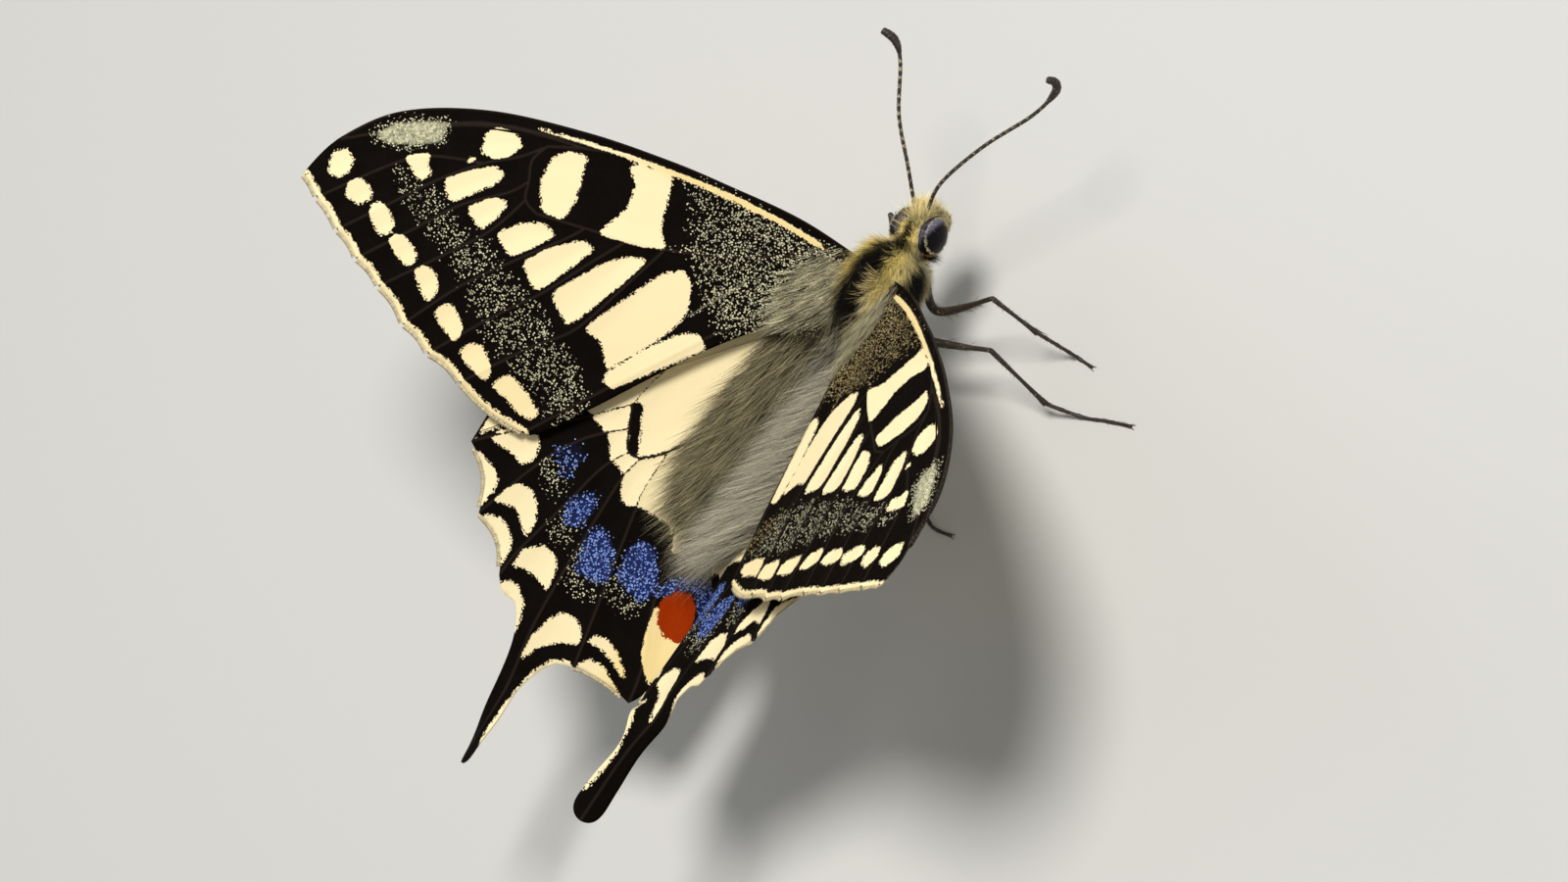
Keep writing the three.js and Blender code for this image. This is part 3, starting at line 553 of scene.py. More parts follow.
HIND_CREAM = [
    plan(183, -206, 168, -203, 173, -211, 184, -229),
    plan(173, -221, 169, -210, 156, -201, 141, -200, 135, -208, 135, -219, 140, -226, 153, -222),
    plan(185, -235, 173, -234, 157, -239, 150, -246, 150, -257, 152, -271, 159, -259, 169, -247),
    plan(146, -262, 142, -248, 135, -239, 123, -239, 113, -249, 109, -261, 109, -274, 118, -266,
         128, -257),
    plan(151, -279, 142, -271, 132, -270, 121, -277, 115, -287, 115, -303, 122, -294, 131, -287),
    plan(108, -298, 107, -282, 96, -272, 84, -273, 77, -281, 75, -292, 75, -302, 86, -296,
         98, -295),
    plan(112, -316, 104, -308, 94, -310, 85, -318, 81, -334, 79, -359, 84, -339, 90, -326,
         102, -322),
    plan(66, -360, 68, -339, 62, -318, 55, -309, 43, -309, 35, -315, 32, -325, 46, -331, 59, -342),
    plan(56.5, -424, 58.5, -390, 54, -363, 45, -346, 33, -339, 27, -343, 43, -354, 51, -380,
         52, -430),
    plan(28, -320, 25, -312, 14, -310, 2, -316, -12, -328, -10, -331, 2, -324, 16, -319),
    plan(27, -341, 20, -330, 7, -330, -12, -341, -21, -349, -10, -350, 9, -346),
    plan(-4, -269, -8, -290, -14, -309, -30, -326, -36, -312, -42, -275, -15, -266),
    plan(112, -166, 93, -173, 83, -189, 73, -190, 68, -195, 61, -211, 54, -212, 42, -208, 19, -209,
         10, -217, 6, -228, -20, -217, -48, -220, -50, 0, -25, 15, 80, 10, 160, -80, 165, -145,
         135, -155),
]
HIND_RUST = [plan(-5, -263, -13, -251, -22, -246, -33, -254, -38, -271, -36, -286, -21, -287,
                  -10, -278)]
HIND_BLUE = [
    plan(-1, -264, -1, -253, -11, -239, -24, -231, -46, -231, -49, -252, -38, -260, -26, -245,
         -16, -248),
    plan(33, -266, 36, -241, 30, -230, 18, -231, 1, -256, 6, -272),
    plan(65, -275, 69, -247, 62, -236, 46, -247, 37, -268, 46, -278),
    plan(95, -244, 96, -230, 82, -216, 75, -224, 76, -242, 86, -250),
    plan(125, -206, 127, -199, 111, -188, 101, -195, 103, -218, 111, -219),
]

# ---------------- wing meshes

PLAN_STEP = 0.32                  # spacing of the membrane's inner points
VEIN_STEP = 0.3                   # and of those on the veins
CLEAR_OF_VEIN, CLEAR_OF_MARGIN, CLEAR_OF_POINT = 0.12, 0.14, 0.1
WING_THICKNESS = 0.14
VEIN_HALF_WIDTH = 0.17            # of a ridge at its foot
PLEAT = 0.13                      # how far the membrane sags between veins


def plan_mesh(outline, veins):
    """Triangles over the plan; margin and veins are edges, and points lie beside each vein."""
    lines = [spline(points, VEIN_STEP) for points, _, _ in veins]
    fixed, edges = outline, []
    for line in lines:
        kept = line[inside(line, outline)]
        edges += [(i, i + 1) for i in range(len(fixed), len(fixed) + len(kept) - 1)]
        fixed = np.vstack([fixed, kept])
    beside = [line + square_to(line) * off
              for line in lines for off in (-VEIN_HALF_WIDTH, VEIN_HALF_WIDTH)]
    low, high = outline.min(0), outline.max(0)
    columns, rows = np.meshgrid(np.arange(low[0], high[0], PLAN_STEP),
                                np.arange(low[1], high[1], PLAN_STEP * 0.87))
    columns = columns + (np.arange(len(rows)) % 2)[:, None] * PLAN_STEP / 2
    grid = np.stack([columns.ravel(), rows.ravel()], 1)
    to_veins = np.min([distance_to_line(grid, line) for line in lines], axis=0)
    free = np.vstack([*beside, grid[to_veins > VEIN_HALF_WIDTH + CLEAR_OF_VEIN]])
    free = free[inside(free, outline) & (distance_to_line(free, closed(outline)) > CLEAR_OF_MARGIN)]
    to_fixed = np.concatenate([np.min(np.linalg.norm(fixed[:, None] - chunk, axis=2), axis=0)
                               for chunk in np.array_split(free, 40)])
    everything = [Vector(p) for p in np.vstack([fixed, free[to_fixed > CLEAR_OF_POINT]])]
    result = delaunay_2d_cdt(everything, edges, [list(range(len(outline)))], 1, 1e-5)
    verts = np.array([tuple(v) for v in result[0]])
    faces = np.array([f for f in result[2] if len(f) == 3])
    a, b, c = (verts[faces[:, k]] for k in range(3))
    b, c = (b - a).T, (c - a).T
    area = b[0] * c[1] - b[1] * c[0]
    faces[area < 0] = faces[area < 0][:, ::-1]
    return verts, faces[np.abs(area) > 1e-9]


def vein_fields(points, veins):
    """Height of the ridges, and how far points are beyond a dark vein line and off its middle."""
    ridge = np.zeros(len(points))
    clear = np.full(len(points), FAR)
    nearest = np.full(len(points), FAR)
    for line, height, dark in veins:
        d = distance_to_line(points, spline(line, 0.5))
        ridge = np.maximum(ridge, height * fade(d, 0.03, VEIN_HALF_WIDTH))
        clear = np.minimum(clear, d - dark)
        nearest = np.minimum(nearest, d)
    return ridge, clear, nearest


def pattern(nearest, loose, **layers):
    """A wing's layers, those it lacks as zero; loose is how ragged an edge is on a vein."""
    zero = np.zeros(len(nearest))
    common = {"blue": zero, "rust": zero - 2, "murk": zero, "tawny": zero,
              "vein": fade(nearest, 0.03, 0.13),
              "loose": loose + (1 - loose) * ramp(nearest, 0.2, 0.7)}
    return {key: np.clip(values, -2, 2) for key, values in (common | layers).items()}


def forewing_layers(points):
    span, aft = points[:, 0], -points[:, 1]
    ridge, clear, nearest = vein_fields(points, FORE_VEINS)
    to_ends = np.min([np.linalg.norm(points - e, axis=1) for e in FORE_ENDS], axis=0)
    fringe = np.minimum(0.42 - distance_to_line(points, FORE_OUTER), (to_ends - 0.14) * 0.8)
    fold = distance_to_line(points, spline(FORE_FOLD, 0.5))
    cream = np.maximum(np.minimum(depth_in(points, FORE_CREAM) + 0.05, fold - 0.02), fringe)
    band, base, apex = (depth_in(points, [area])
                        for area in (FORE_BAND, FORE_BASE_DUST, FORE_APEX_DUST))
    dust = [0.6 * ramp(band, -0.6, 0.75) * ramp(clear, -0.1, 0.2),
            np.interp(span, [4, 12], [0.95, 0.5]) * ramp(base, -0.7, 1.2),
            1.7 * ramp(apex, -0.4, 0.9)]
    for line, half_width, level in FORE_STREAKS:
        off = distance_to_line(points, spline(line, 0.5))
        dust.append(level * fade(off, half_width, half_width + 0.1))
    warm = 0.2 * ramp(aft, 14, 24) + 0.05 + 0.5 * fade(aft, 1.6, 3.0) * ramp(22 - span, 0, 8)
    # The tawny layer at the base is a painted grazing-angle sheen; wing_piece keeps it on the right
    # wing only.
    layers = pattern(nearest, 0.35, cream=cream, dust=np.max(dust, axis=0), warm=warm,
                     tawny=ramp(15 - span, 0, 2))
    return layers, ridge, nearest


def hindwing_layers(points):
    span, aft = points[:, 0], -points[:, 1]
    ridge, clear, nearest = vein_fields(points, HIND_VEINS)
    bar = distance_to_line(points, HIND_DISCAL_BAR) - 0.42
    cream = np.minimum.reduce([depth_in(points, HIND_CREAM), bar, np.where(aft < 23, clear, FAR)])
    blue = ramp(depth_in(points, HIND_BLUE), -0.45, 0.5)
    beyond = depth_in(points, [spot + [0.2, -1.6] for spot in HIND_BLUE[1:]])
    layers = pattern(nearest, 0.45, cream=cream, blue=np.interp(span, [7, 11], [1.6, 0.6]) * blue,
                     rust=depth_in(points, HIND_RUST, 0.2, 3),
                     dust=0.5 * ramp(beyond, -0.6, 0.4) * (1 - 0.9 * blue),
                     warm=0.6 * ramp(aft, 22, 30) * ramp(2 - span, 0, 3) + 0.03,
                     murk=0.8 * ramp(2.2 - span, 0, 2.4) * fade(aft, 16, 21.5))
    return layers, ridge, nearest


def wing_piece(kind, side, name, mesh, layers, ridge, nearest):
    """A thin closed wing: both faces, ridged and pleated, and a rim."""
    verts, faces = mesh
    points, normal, _, _ = wing_frame(WINGS[f"{kind}_{name}"], verts)
    sag, half = -PLEAT * ramp(nearest, 0.1, 1.6), WING_THICKNESS / 2 + ridge
    both = np.vstack([points + normal * (sag + off)[:, None] for off in (half, -half)])
    count = len(verts)
    sides = np.concatenate([faces[:, [0, 1]], faces[:, [1, 2]], faces[:, [2, 0]]])
    known = {tuple(e) for e in sides}
    a, b = np.array([e for e in sides if (e[1], e[0]) not in known]).T
    triangles = np.vstack([faces, faces[:, ::-1] + count, np.stack([b, a, a + count], 1),
                           np.stack([b, a + count, b + count], 1)])
    if side > 0:
        triangles = triangles[:, ::-1]
    flat = (verts - verts.min(0)) / np.ptp(verts, axis=0).max() * [0.47, 0.94] + [0.015, 0.03]
    doubled = {key: np.tile(values, 2) for key, values in layers.items()}
    # The painted tawny grazing sheen is kept on the right forewing only, the wing seen at a grazing
    # angle.
    doubled["tawny"] *= side < 0
    under = np.repeat([0.0, 1.0], count)
    doubled["under"] = under
    doubled["plan"] = np.column_stack([np.tile(verts, (2, 1)), under * 40 + 50 * side])
    add_piece(f"{kind}_scaled_{name}", both * [1, side, 1], triangles, doubled, WING, "wing",
              f"{kind}_{name}", uv=np.vstack([flat, flat + [0.5, 0]]))


def fringe_piece(kind, side, name, margins, is_cream):
    """Slender scales that stand out along the outer margin."""
    rng = np.random.default_rng(11)
    wing = WINGS[f"{kind}_{name}"]
    line = np.vstack([spline(part, 0.06) for part in margins])
    outward = square_to(line)
    pale = is_cream(line)
    line, outward = line[pale], outward[pale]
    count = len(line)
    inner = line - outward * 0.3
    outer = line + outward * rng.uniform(0.02, 0.16, (count, 1)) + rng.normal(0, 0.03, line.shape)
    foot, normal, _, _ = wing_frame(wing, inner)
    scale = wing_surface(wing, outer) + normal * rng.uniform(-0.05, 0.05, (count, 1)) - foot
    mirror = [1, side, 1]
    uv = (inner - line.min(0)) / (np.ptp(line, axis=0).max() + 1) * 0.9 + 0.05
    strands(f"{kind}_fringe_{name}", foot * mirror, scale * mirror, np.linalg.norm(scale, axis=1),
            0.11, normal * mirror, uv, np.tile(CREAM, (count, 1)), rings=2, slot="wing", flat=0.6)


# ---------------- strands of fur

ROOT_DEPTH = 0.06                 # how far a hair is sunk into what it grows from
CORNERS = (math.pi / 2, math.pi * 7 / 6, math.pi * 11 / 6)     # of a hair's section
HAIR_UV = 0.0015                  # half the width that a hair takes up in the bake map


def strands(name, roots, heading, lengths, width, normals, uv, tone, rings=3, bend=0.0, wave=0.0,
            slot="fur", seed=5, flat=0.45):
    """Tapered, bent, closed hairs in the body frame; bend turns each one as it goes."""
    rng = np.random.default_rng(seed)
    count, per = len(roots), 3 * rings + 1
    width, lengths = (np.broadcast_to(size, count)[:, None] for size in (width, lengths))
    direction = unit(heading)
    side = unit(np.cross(normals, direction) + 1e-9)
    position = roots - normals * ROOT_DEPTH
    sway = rng.normal(0, 1, (count, 3)) * wave
    points = []
    for ring in range(rings):
        share = (ring + 1) / rings
        deep = unit(np.cross(side, direction)) * flat
        thick = width * (1 - ring / rings) ** 0.7 / 2
        points += [position + (side * math.cos(a) + deep * math.sin(a)) * thick
                   for a in CORNERS]
        direction = unit(direction + (bend + sway * (1 - 1.6 * share)) / rings)
        position = position + direction * lengths / rings
    points = np.stack([*points, position], 1).reshape(-1, 3)
    tip = [(per - 4 + k, per - 4 + (k + 1) % 3, per - 1) for k in range(3)]
    one = np.vstack([[(0, 2, 1)], grid_faces(rings, 3), tip])
    faces = (one + (np.arange(count) * per)[:, None, None]).reshape(-1, 3)
    corner = np.arange(per) * 2.4
    uv = uv[:, None] + np.stack([np.cos(corner), np.sin(corner)], 1) * HAIR_UV
    # along runs from 0 at a hair's root to 1 at its tip; the fur material paints shade towards the
    # root from it.
    along = np.append(np.repeat(np.arange(rings) / rings, 3), 1.0)
    layers = {"tone": np.repeat(tone, per, axis=0), "along": np.tile(along, count),
              "place": np.repeat(roots, per, axis=0) + rng.normal(0, 0.3, 3)}
    add_piece(name, points, faces, layers, FUR, slot, uv=uv.reshape(-1, 2))


# ---------------- body

# Stations of the skin: position, half width, half height, height of the middle.
SKIN = [(5.1, 0.12, 0.12, -1.05), (4.98, 0.5, 0.55, -1.03), (4.5, 0.95, 1.1, -1.0),
        (3.8, 1.2, 1.45, -0.93), (3.1, 1.0, 1.3, -0.85), (2.5, 0.8, 1.1, -0.7),
        (1.9, 1.0, 1.4, -0.5), (0.9, 2.1, 2.35, -0.28), (-1.0, 2.6, 2.85, -0.22),
        (-3.4, 2.4, 2.7, -0.22), (-5.4, 1.85, 2.05, -0.35), (-6.7, 1.45, 1.5, -0.48),
        (-8.5, 1.8, 1.75, -0.6), (-12, 1.85, 1.8, -0.85), (-16, 1.55, 1.55, -1.25),
        (-19, 1.0, 1.05, -1.6), (-20.6, 0.35, 0.4, -1.78), (-20.9, 0.08, 0.08, -1.8)]
SKIN_LINE = spline(SKIN, 0.15)
SKIN_TABLE = SKIN_LINE[np.argsort(SKIN_LINE[:, 0])].T
SEGMENTS = (-7.4, -9.1, -10.8, -12.5, -14.2, -15.8, -17.3, -18.7)
HEAD_CENTRE = np.array([3.72, 0.0, -0.95])
HEAD_TURN = rotation("Z", 11)     # the head looks to the left
EYE_CENTRE = np.array([3.78, 1.45, -0.66])
EYE_RADII = np.array([1.5, 0.8, 1.5])
EYE_CLEARANCE = 0.04              # of fur that keeps off the eyes, as a share of their radii


def skin_girth(x):
    wide, high, middle = (np.interp(x, SKIN_TABLE[0], row) for row in SKIN_TABLE[1:])
    groove = 1 - sum(np.exp(-((x - s) / 0.13) ** 2) for s in SEGMENTS) * 0.05
    return wide * groove, high * groove, middle


def with_head(points):
    return (np.asarray(points) - HEAD_CENTRE) @ HEAD_TURN.T + HEAD_CENTRE


def outside_eyes(points):
    """How far points are from the nearer eye, as a share of its radii."""
    local = (points - HEAD_CENTRE) @ HEAD_TURN + HEAD_CENTRE
    return np.min([np.linalg.norm((local - EYE_CENTRE * [1, side, 1]) / EYE_RADII, axis=1) - 1
                   for side, _ in SIDES], axis=0)


def skin_point(x, angle):
    """A point of the skin and its normal; angle 0 is mid-back, positive to the left."""
    aside = (x - HEAD_CENTRE[0]) * 0.19 * ramp(x, 2.2, 3.2)

    def at(x):
        wide, high, middle = skin_girth(x)
        return np.stack([x, wide * np.sin(angle) + aside, middle + high * np.cos(angle)], -1)

    wide, high, _ = skin_girth(x)
    around = np.stack([0 * x, wide * np.cos(angle), -high * np.sin(angle)], -1)
    return at(x), unit(np.cross(at(x + 0.05) - at(x), around))


GOLDEN, STRAW, PALE_FUR = (1.0, 0.80, 0.26), (1.0, 0.88, 0.44), (1.0, 0.92, 0.62)
BLACK_FUR, GREY_PAINTED_SHADE, ORANGE_FUR = (0.009, 0.0065, 0.005), (0.24, 0.22, 0.15), (0.66, 0.38, 0.10)
# Half width, in degrees, of the black line down the back at each of these places.
BACK_LINE = ([-5, -2.5, 0, 1.2, 2.4, 3.0], [48, 36, 25, 21, 25, 18])


def body_tone(x, angle):
    """Markings of the body, for skin and coat: a black line down the back between golden ones, and
    the abdomen greyed with painted shade.
    """
    turn = np.abs(np.degrees(angle))
    tone = np.tile(GOLDEN, (len(x), 1))

    def lay(share, colour):
        nonlocal tone
        tone = tone + (np.array(colour) - tone) * share[:, None]

    edge = np.interp(x, *BACK_LINE)
    collar = ramp(x, 0.5, 2.0)
    lay(ramp(turn, 30, 50) * 0.7, STRAW)
    lay(ramp(turn - 8 * collar, 58, 68), BLACK_FUR)
    lay(ramp(turn + 18 * collar, 106, 124), PALE_FUR)
    lay(fade(turn, edge - 4, edge + 4), BLACK_FUR)
    # Painted shade: the abdomen is laid grey, as if shaded by the hair over it, in place of its own
    # yellow; its black line and pale belly are markings.
    abdomen = fade(x, -5.4, -3.2)
    lay(abdomen, GREY_PAINTED_SHADE)
    lay(abdomen * fade(turn, 30, 46), BLACK_FUR)
    lay(abdomen * ramp(turn, 92, 108), PALE_FUR)
    head = ramp(x, 2.7, 3.0)
    point = skin_point(x, angle)[0]
    to_eye = outside_eyes(point)
    behind = head * fade(to_eye, 0.3, 0.55) * fade(x, 3.7, 4.0) * ramp(turn, 48, 66)
    lay(behind, BLACK_FUR)
    lay(behind * ramp(-point[:, 2], 0.7, 1.0), ORANGE_FUR)
    lay(head * fade(to_eye, 0.1, 0.2), PALE_FUR)
    lay(ramp(x, 3.9, 4.2), STRAW)
    lay(ramp(x, 4.2, 4.4) * fade(turn, 14, 22) * fade(x, 4.7, 4.85), BLACK_FUR)
    return tone


def chest_tone(x, angle):
    streaks = np.sin(x * 3.0 + angle * 7)[:, None] > 0.2
    return np.where(streaks, PALE_FUR, (0.46, 0.40, 0.17)) * [0.9, 0.85, 0.7]


def plain(*colour):
    """A tone for a coat that has one colour throughout."""
    return lambda x, angle: np.tile(colour, (len(x), 1))


def body_uv(x, angle):
    return np.stack([(angle / (2 * math.pi) + 0.5) * 0.9 + 0.05, (x + 21.5) / 28 * 0.9 + 0.05], -1)


def body_skin():
    """The skin, with the seam down the belly welded and the two small ends capped."""
    across, rows = 56, 150
    x = np.interp(np.linspace(0, 1, rows), np.linspace(0, 1, len(SKIN_LINE)), SKIN_LINE[:, 0])
    turns = np.linspace(-math.pi, math.pi, across + 1)
    x, angle = (g.ravel() for g in np.meshgrid(x, turns, indexing="ij"))
    points = skin_point(x, angle)[0]
    faces = grid_faces(rows, across, around=False)
    # The skin takes the coat's tone at 0.55, and its along of 0.3 gives it the fur material's
    # painted shade near the roots.
    layers = {"tone": body_tone(x, angle) * 0.55, "along": 0.3 + 0 * x, "place": points}
    piece = add_piece("body_skin", points, faces, layers, FUR, "fur", "thorax", "abdomen", "head",
                      uv=body_uv(x, angle))
    work = bmesh.new()
    work.from_mesh(piece.data)
    bmesh.ops.remove_doubles(work, verts=work.verts, dist=1e-7)
    bmesh.ops.holes_fill(work, edges=[e for e in work.edges if e.is_boundary], sides=0)
    bmesh.ops.recalc_face_normals(work, faces=work.faces)
    work.to_mesh(piece.data)
    work.free()


def coat(name, count, x_range, length, width, lift, seed, angles=(-math.pi, math.pi), side=1,
         heading=(-1, 0, 0), tone_of=body_tone, spread=0.25, bend=0.5, rings=2, parting=0.0,
         off_eyes=False):
    """Fur over a stretch of the skin; parting combs it away from the middle line.

    Angles and heading are for the left side, or for the right one as its mirror image.
    """
    rng = np.random.default_rng(seed)
    x = rng.uniform(*x_range, count)
    angle = rng.uniform(*sorted(a * side for a in angles), count)
    angle = (angle + math.pi) % (2 * math.pi) - math.pi
    if off_eyes:
        keep = outside_eyes(skin_point(x, angle)[0]) > EYE_CLEARANCE
        x, angle = x[keep], angle[keep]
    count = len(x)
    point, normal = skin_point(x, angle)
    clump = np.sin(x * 7.1 + np.sin(angle * 9.0) * 2) * np.sin(angle * 13.0 + np.sin(x * 5.0) * 2)
    lie = np.array(heading) * [1, side, 1] + rng.normal(0, spread, (count, 3))
    lie[:, 1] += clump * 0.35 + parting * np.sin(angle)
    lie = flattened(lie, normal)
    direction = raised(lie, normal, rng.normal(lift, lift * 0.2, count) + clump * 7)
    lengths = length * rng.uniform(0.6, 1.25, count)
    shade = np.where(rng.random((count, 1)) < 0.14, 0.4, 1.0) * rng.uniform(0.75, 1.3, (count, 1))
    strands(name, point, direction, lengths, width * rng.uniform(0.7, 1.25, count), normal,
            body_uv(x, angle), tone_of(x, angle) * (shade + clump[:, None] * 0.15), rings=rings,
            bend=(lie - normal * 0.4) * bend, wave=0.12, seed=seed)


# ---------------- eyes, feelers, tongue and legs

def tube(points, radius_at, sides=14, step=0.12):
    """A capped round tube along a curve; radius_at takes the way along it and the whole, mm."""
    line = spline(points, step)
    tangent = unit(np.gradient(line, axis=0))
    travelled = np.concatenate([[0], np.cumsum(np.linalg.norm(np.diff(line, axis=0), axis=1))])
    turn = np.linspace(0, 2 * math.pi, sides, endpoint=False)[:, None]
    side = unit(np.cross(tangent[0], [0.3, 0.2, 1.0]))
    rings = []
    for centre, forward, s in zip(line, tangent, travelled):
        side = flattened(side, forward)
        spokes = np.cos(turn) * side + np.sin(turn) * np.cross(forward, side)
        rings.append(centre + radius_at(s, travelled[-1]) * spokes)
    verts = np.vstack([*rings, line[0] - tangent[0] * 0.03, line[-1] + tangent[-1] * 0.05])
    along = np.concatenate([np.repeat(travelled, sides), [0, travelled[-1]]])
    return verts, tube_faces(len(rings), sides), along


def taper(start, end):
    return lambda s, whole: start + (end - start) * s / whole


LEFT_ANTENNA = [(4.8, 0.85, -0.3), (7.7, 2.4, 1.6), (10.8, 4.5, 3.2), (14.4, 6.1, 4.4),
                (15.7, 7.1, 5.1), (15.9, 8.1, 5.9)]
RIGHT_ANTENNA = [(5.05, -0.1, -0.3), (8.0, -0.9, 1.4), (12.3, -3.1, 2.1), (16.4, -5.8, 2.4),
                 (18.8, -6.9, 2.9), (19.6, -6.9, 3.5), (19.5, -6.6, 4.2)]
LEFT_PALP = np.array([(4.13, 0.98, -2.29), (5.03, 0.98, -2.34), (5.58, 0.96, -1.59),
                      (5.73, 0.92, -0.74)])
PALP_SKIN = (0.30, 0.24, 0.08)
# Each leg in the stance frame: root, end of the coxa, knee, ankle and the foot's points.
LEGS = {
    "front_right": [(1.4, -1.1, 8.9), (-0.6, -2.5, 6.8), (2.65, -7.3, 8.3), (2.3, -9.6, 3.9),
                    (2.4, -11.4, 0.75), (2.4, -12.0, 0.2), (2.4, -13.2, 0.2)],
    "mid_right": [(-1.5, -1.3, 8.4), (-3.0, -2.8, 6.9), (-0.8, -8.7, 6.6), (-1.95, -12.6, 1.9),
                  (-1.2, -15.2, 0.3), (-0.4, -17.2, 0.2), (0.3, -19.3, 0.2)],
    "hind_right": [(-4.2, -1.3, 8.2), (-5.3, -2.5, 7.0), (-8.2, -5.4, 8.6), (-13.2, -7.1, 2.4),
                   (-14.6, -8.1, 0.4), (-15.0, -9.2, 0.2), (-14.7, -10.9, 0.2)],
    "front_left": [(1.4, 1.1, 8.9), (0.3, 2.4, 7.0), (3.6, 5.4, 8.0), (3.2, 7.2, 3.4),
                   (3.4, 8.7, 0.6), (3.5, 9.3, 0.2), (3.7, 10.5, 0.2)],
    "mid_left": [(-1.5, 1.3, 8.4), (-2.5, 2.8, 6.9), (-2.0, 8.2, 7.2), (-3.6, 12.0, 2.2),
                 (-4.0, 14.2, 0.4), (-4.2, 15.4, 0.2), (-4.5, 16.9, 0.2)],
    "hind_left": [(-4.2, 1.3, 8.2), (-5.3, 2.5, 7.0), (-9.0, 5.6, 8.2), (-14.4, 8.0, 2.6),
                  (-16.4, 9.0, 0.5), (-17.6, 9.7, 0.2), (-20.2, 11.2, 0.2)],
}


def eye_piece(side, name):
    across, down = 64, 40
    p, t = np.meshgrid(np.linspace(0, math.pi, down + 1)[1:-1],
                       np.linspace(0, 2 * math.pi, across, endpoint=False), indexing="ij")
    ball = np.stack([np.sin(p) * np.cos(t), np.sin(p) * np.sin(t), np.cos(p)], -1).reshape(-1, 3)
    ball = np.vstack([ball, UP, -UP])
    points = with_head(ball * EYE_RADII + EYE_CENTRE * [1, side, 1])
    # Painted highlight mask: high on the side of the eye turned up and towards the upper left of
    # the view.
    painted_highlight = ramp(ball @ HEAD_TURN.T @ unit(np.array([0.38, 0.78, 0.50])), -0.2, 0.45)
    add_piece(f"eye_globe_{name}", points, tube_faces(down - 1, across)[:, ::-1],
              {"place": points, "painted_highlight": painted_highlight}, EYE, "eye", f"eye_{name}")


def eye_rim(side, name):
    """Cream scales that lap over the edge of an eye, black ones behind them."""
    rng = np.random.default_rng(41)
    count = 3000
    turn = rng.uniform(0, 2 * math.pi, count)
    edge = 0.2 - 0.28 * np.sin(turn)
    behind = rng.uniform(0, 1, count)
    height = edge - behind * (0.75 + edge)
    ring = np.sqrt(1 - height ** 2)
    ball = np.stack([ring * np.sin(turn), height * side, ring * np.cos(turn)], 1)
    normal = unit(ball / EYE_RADII)
    lie = flattened(np.array([0.0, side, 0.0]), normal)
    heading = raised(lie, normal, rng.uniform(8, 26, count)) + rng.normal(0, 0.1, (count, 3))
    rear_low = ((ball[:, 0] < -0.2) & (ball[:, 2] < 0.1))[:, None]
    tone = np.where((behind < 0.16)[:, None], PALE_FUR, np.where(rear_low, ORANGE_FUR, BLACK_FUR))
    tone = tone * rng.uniform(0.7, 1.2, (count, 1))
    uv = np.stack([turn / 7 + 0.05, (0.6 - height) / 1.5], 1)
    strands(f"eye_rim_{name}", with_head(ball * EYE_RADII + EYE_CENTRE * [1, side, 1]),
            heading @ HEAD_TURN.T, rng.uniform(0.24, 0.42, count), 0.05, normal @ HEAD_TURN.T, uv,
            tone, rings=2, seed=42)


def antenna_piece(points, name, paleness):
    """A finely ringed shaft that swells to an upturned club."""
    def radius_at(s, whole):
        club = min(max(0.0, (s / whole - 0.84) / 0.16), 1)
        bead = 0.012 * math.cos(s / 0.34 * 2 * math.pi)
        return 0.155 + 0.08 * math.exp(-s / 0.25) + bead + 0.2 * math.sin(club * 0.8 * math.pi)

    verts, faces, along = tube(points, radius_at, 12, 0.085)
    pale = paleness * (np.cos(along / 0.68 * 2 * math.pi) > 0.35) * (along < along.max() * 0.83)
    add_piece(name + "_ringed", verts, faces, {"place": verts, "pale": pale}, SHELL, "shell", name)


def tongue_radius(s, whole):
    return 0.2 - 0.07 * s / whole + 0.008 * math.cos(s * 40)


def proboscis_piece():
    """The tongue's coil of one and a half turns, in the head's middle plane."""
    turn = np.arange(1.5, -0.01, -1 / 16)
    radius, angle = 0.32 + 0.66 * turn, math.pi * (0.62 - 2 * (1.5 - turn))
    points = np.stack([4.83 + radius * np.cos(angle), 0 * turn, -3.14 + radius * np.sin(angle)], 1)
    verts, faces, along = tube(with_head(points), tongue_radius, 12, 0.06)
    layers = {"place": verts, "pale": 0 * along}
    add_piece("tongue_coil", verts, faces, layers, SHELL, "shell", "proboscis")


def femur_radius(s, length):
    return 0.2 + 0.17 * math.sin(math.pi * min(1, s / length * 1.1 + 0.12)) ** 0.7


def tibia_radius(s, length):
    return 0.19 + 0.03 * math.cos(s / length * 6) + 0.05 * ramp(s / length, 0.85, 1.0)


def foot_radius(s, length):
    joint = (s / length * 5) % 1
    return 0.16 - 0.03 * s / length + 0.03 * (ramp(joint, 0.5, 0.95) - ramp(joint, 0.95, 1.0))


def bristles(rng, line, gap, reach):
    """Pairs of fine bristles along a stretch of a leg, clear of the floor."""
    tangent = unit(line[-1] - line[0])
    across = unit(np.cross(tangent, [0.2, 0.3, 1.0]))
    for at in np.arange(gap, len(line) * 0.1 - gap, gap):
        for _ in range(2):
            turn = rng.uniform(0, 2 * math.pi)
            out = math.cos(turn) * across + math.sin(turn) * np.cross(tangent, across)
            base = line[min(int(at / 0.1), len(line) - 2)] + out * 0.12
            tip = base + out * reach + tangent * 0.3
            if tip[2] > 0.16:
                bristle = [base, (base + tip) / 2 + tangent * 0.03, tip]
                yield tube(bristle, taper(0.028, 0.004), 4, 0.15)


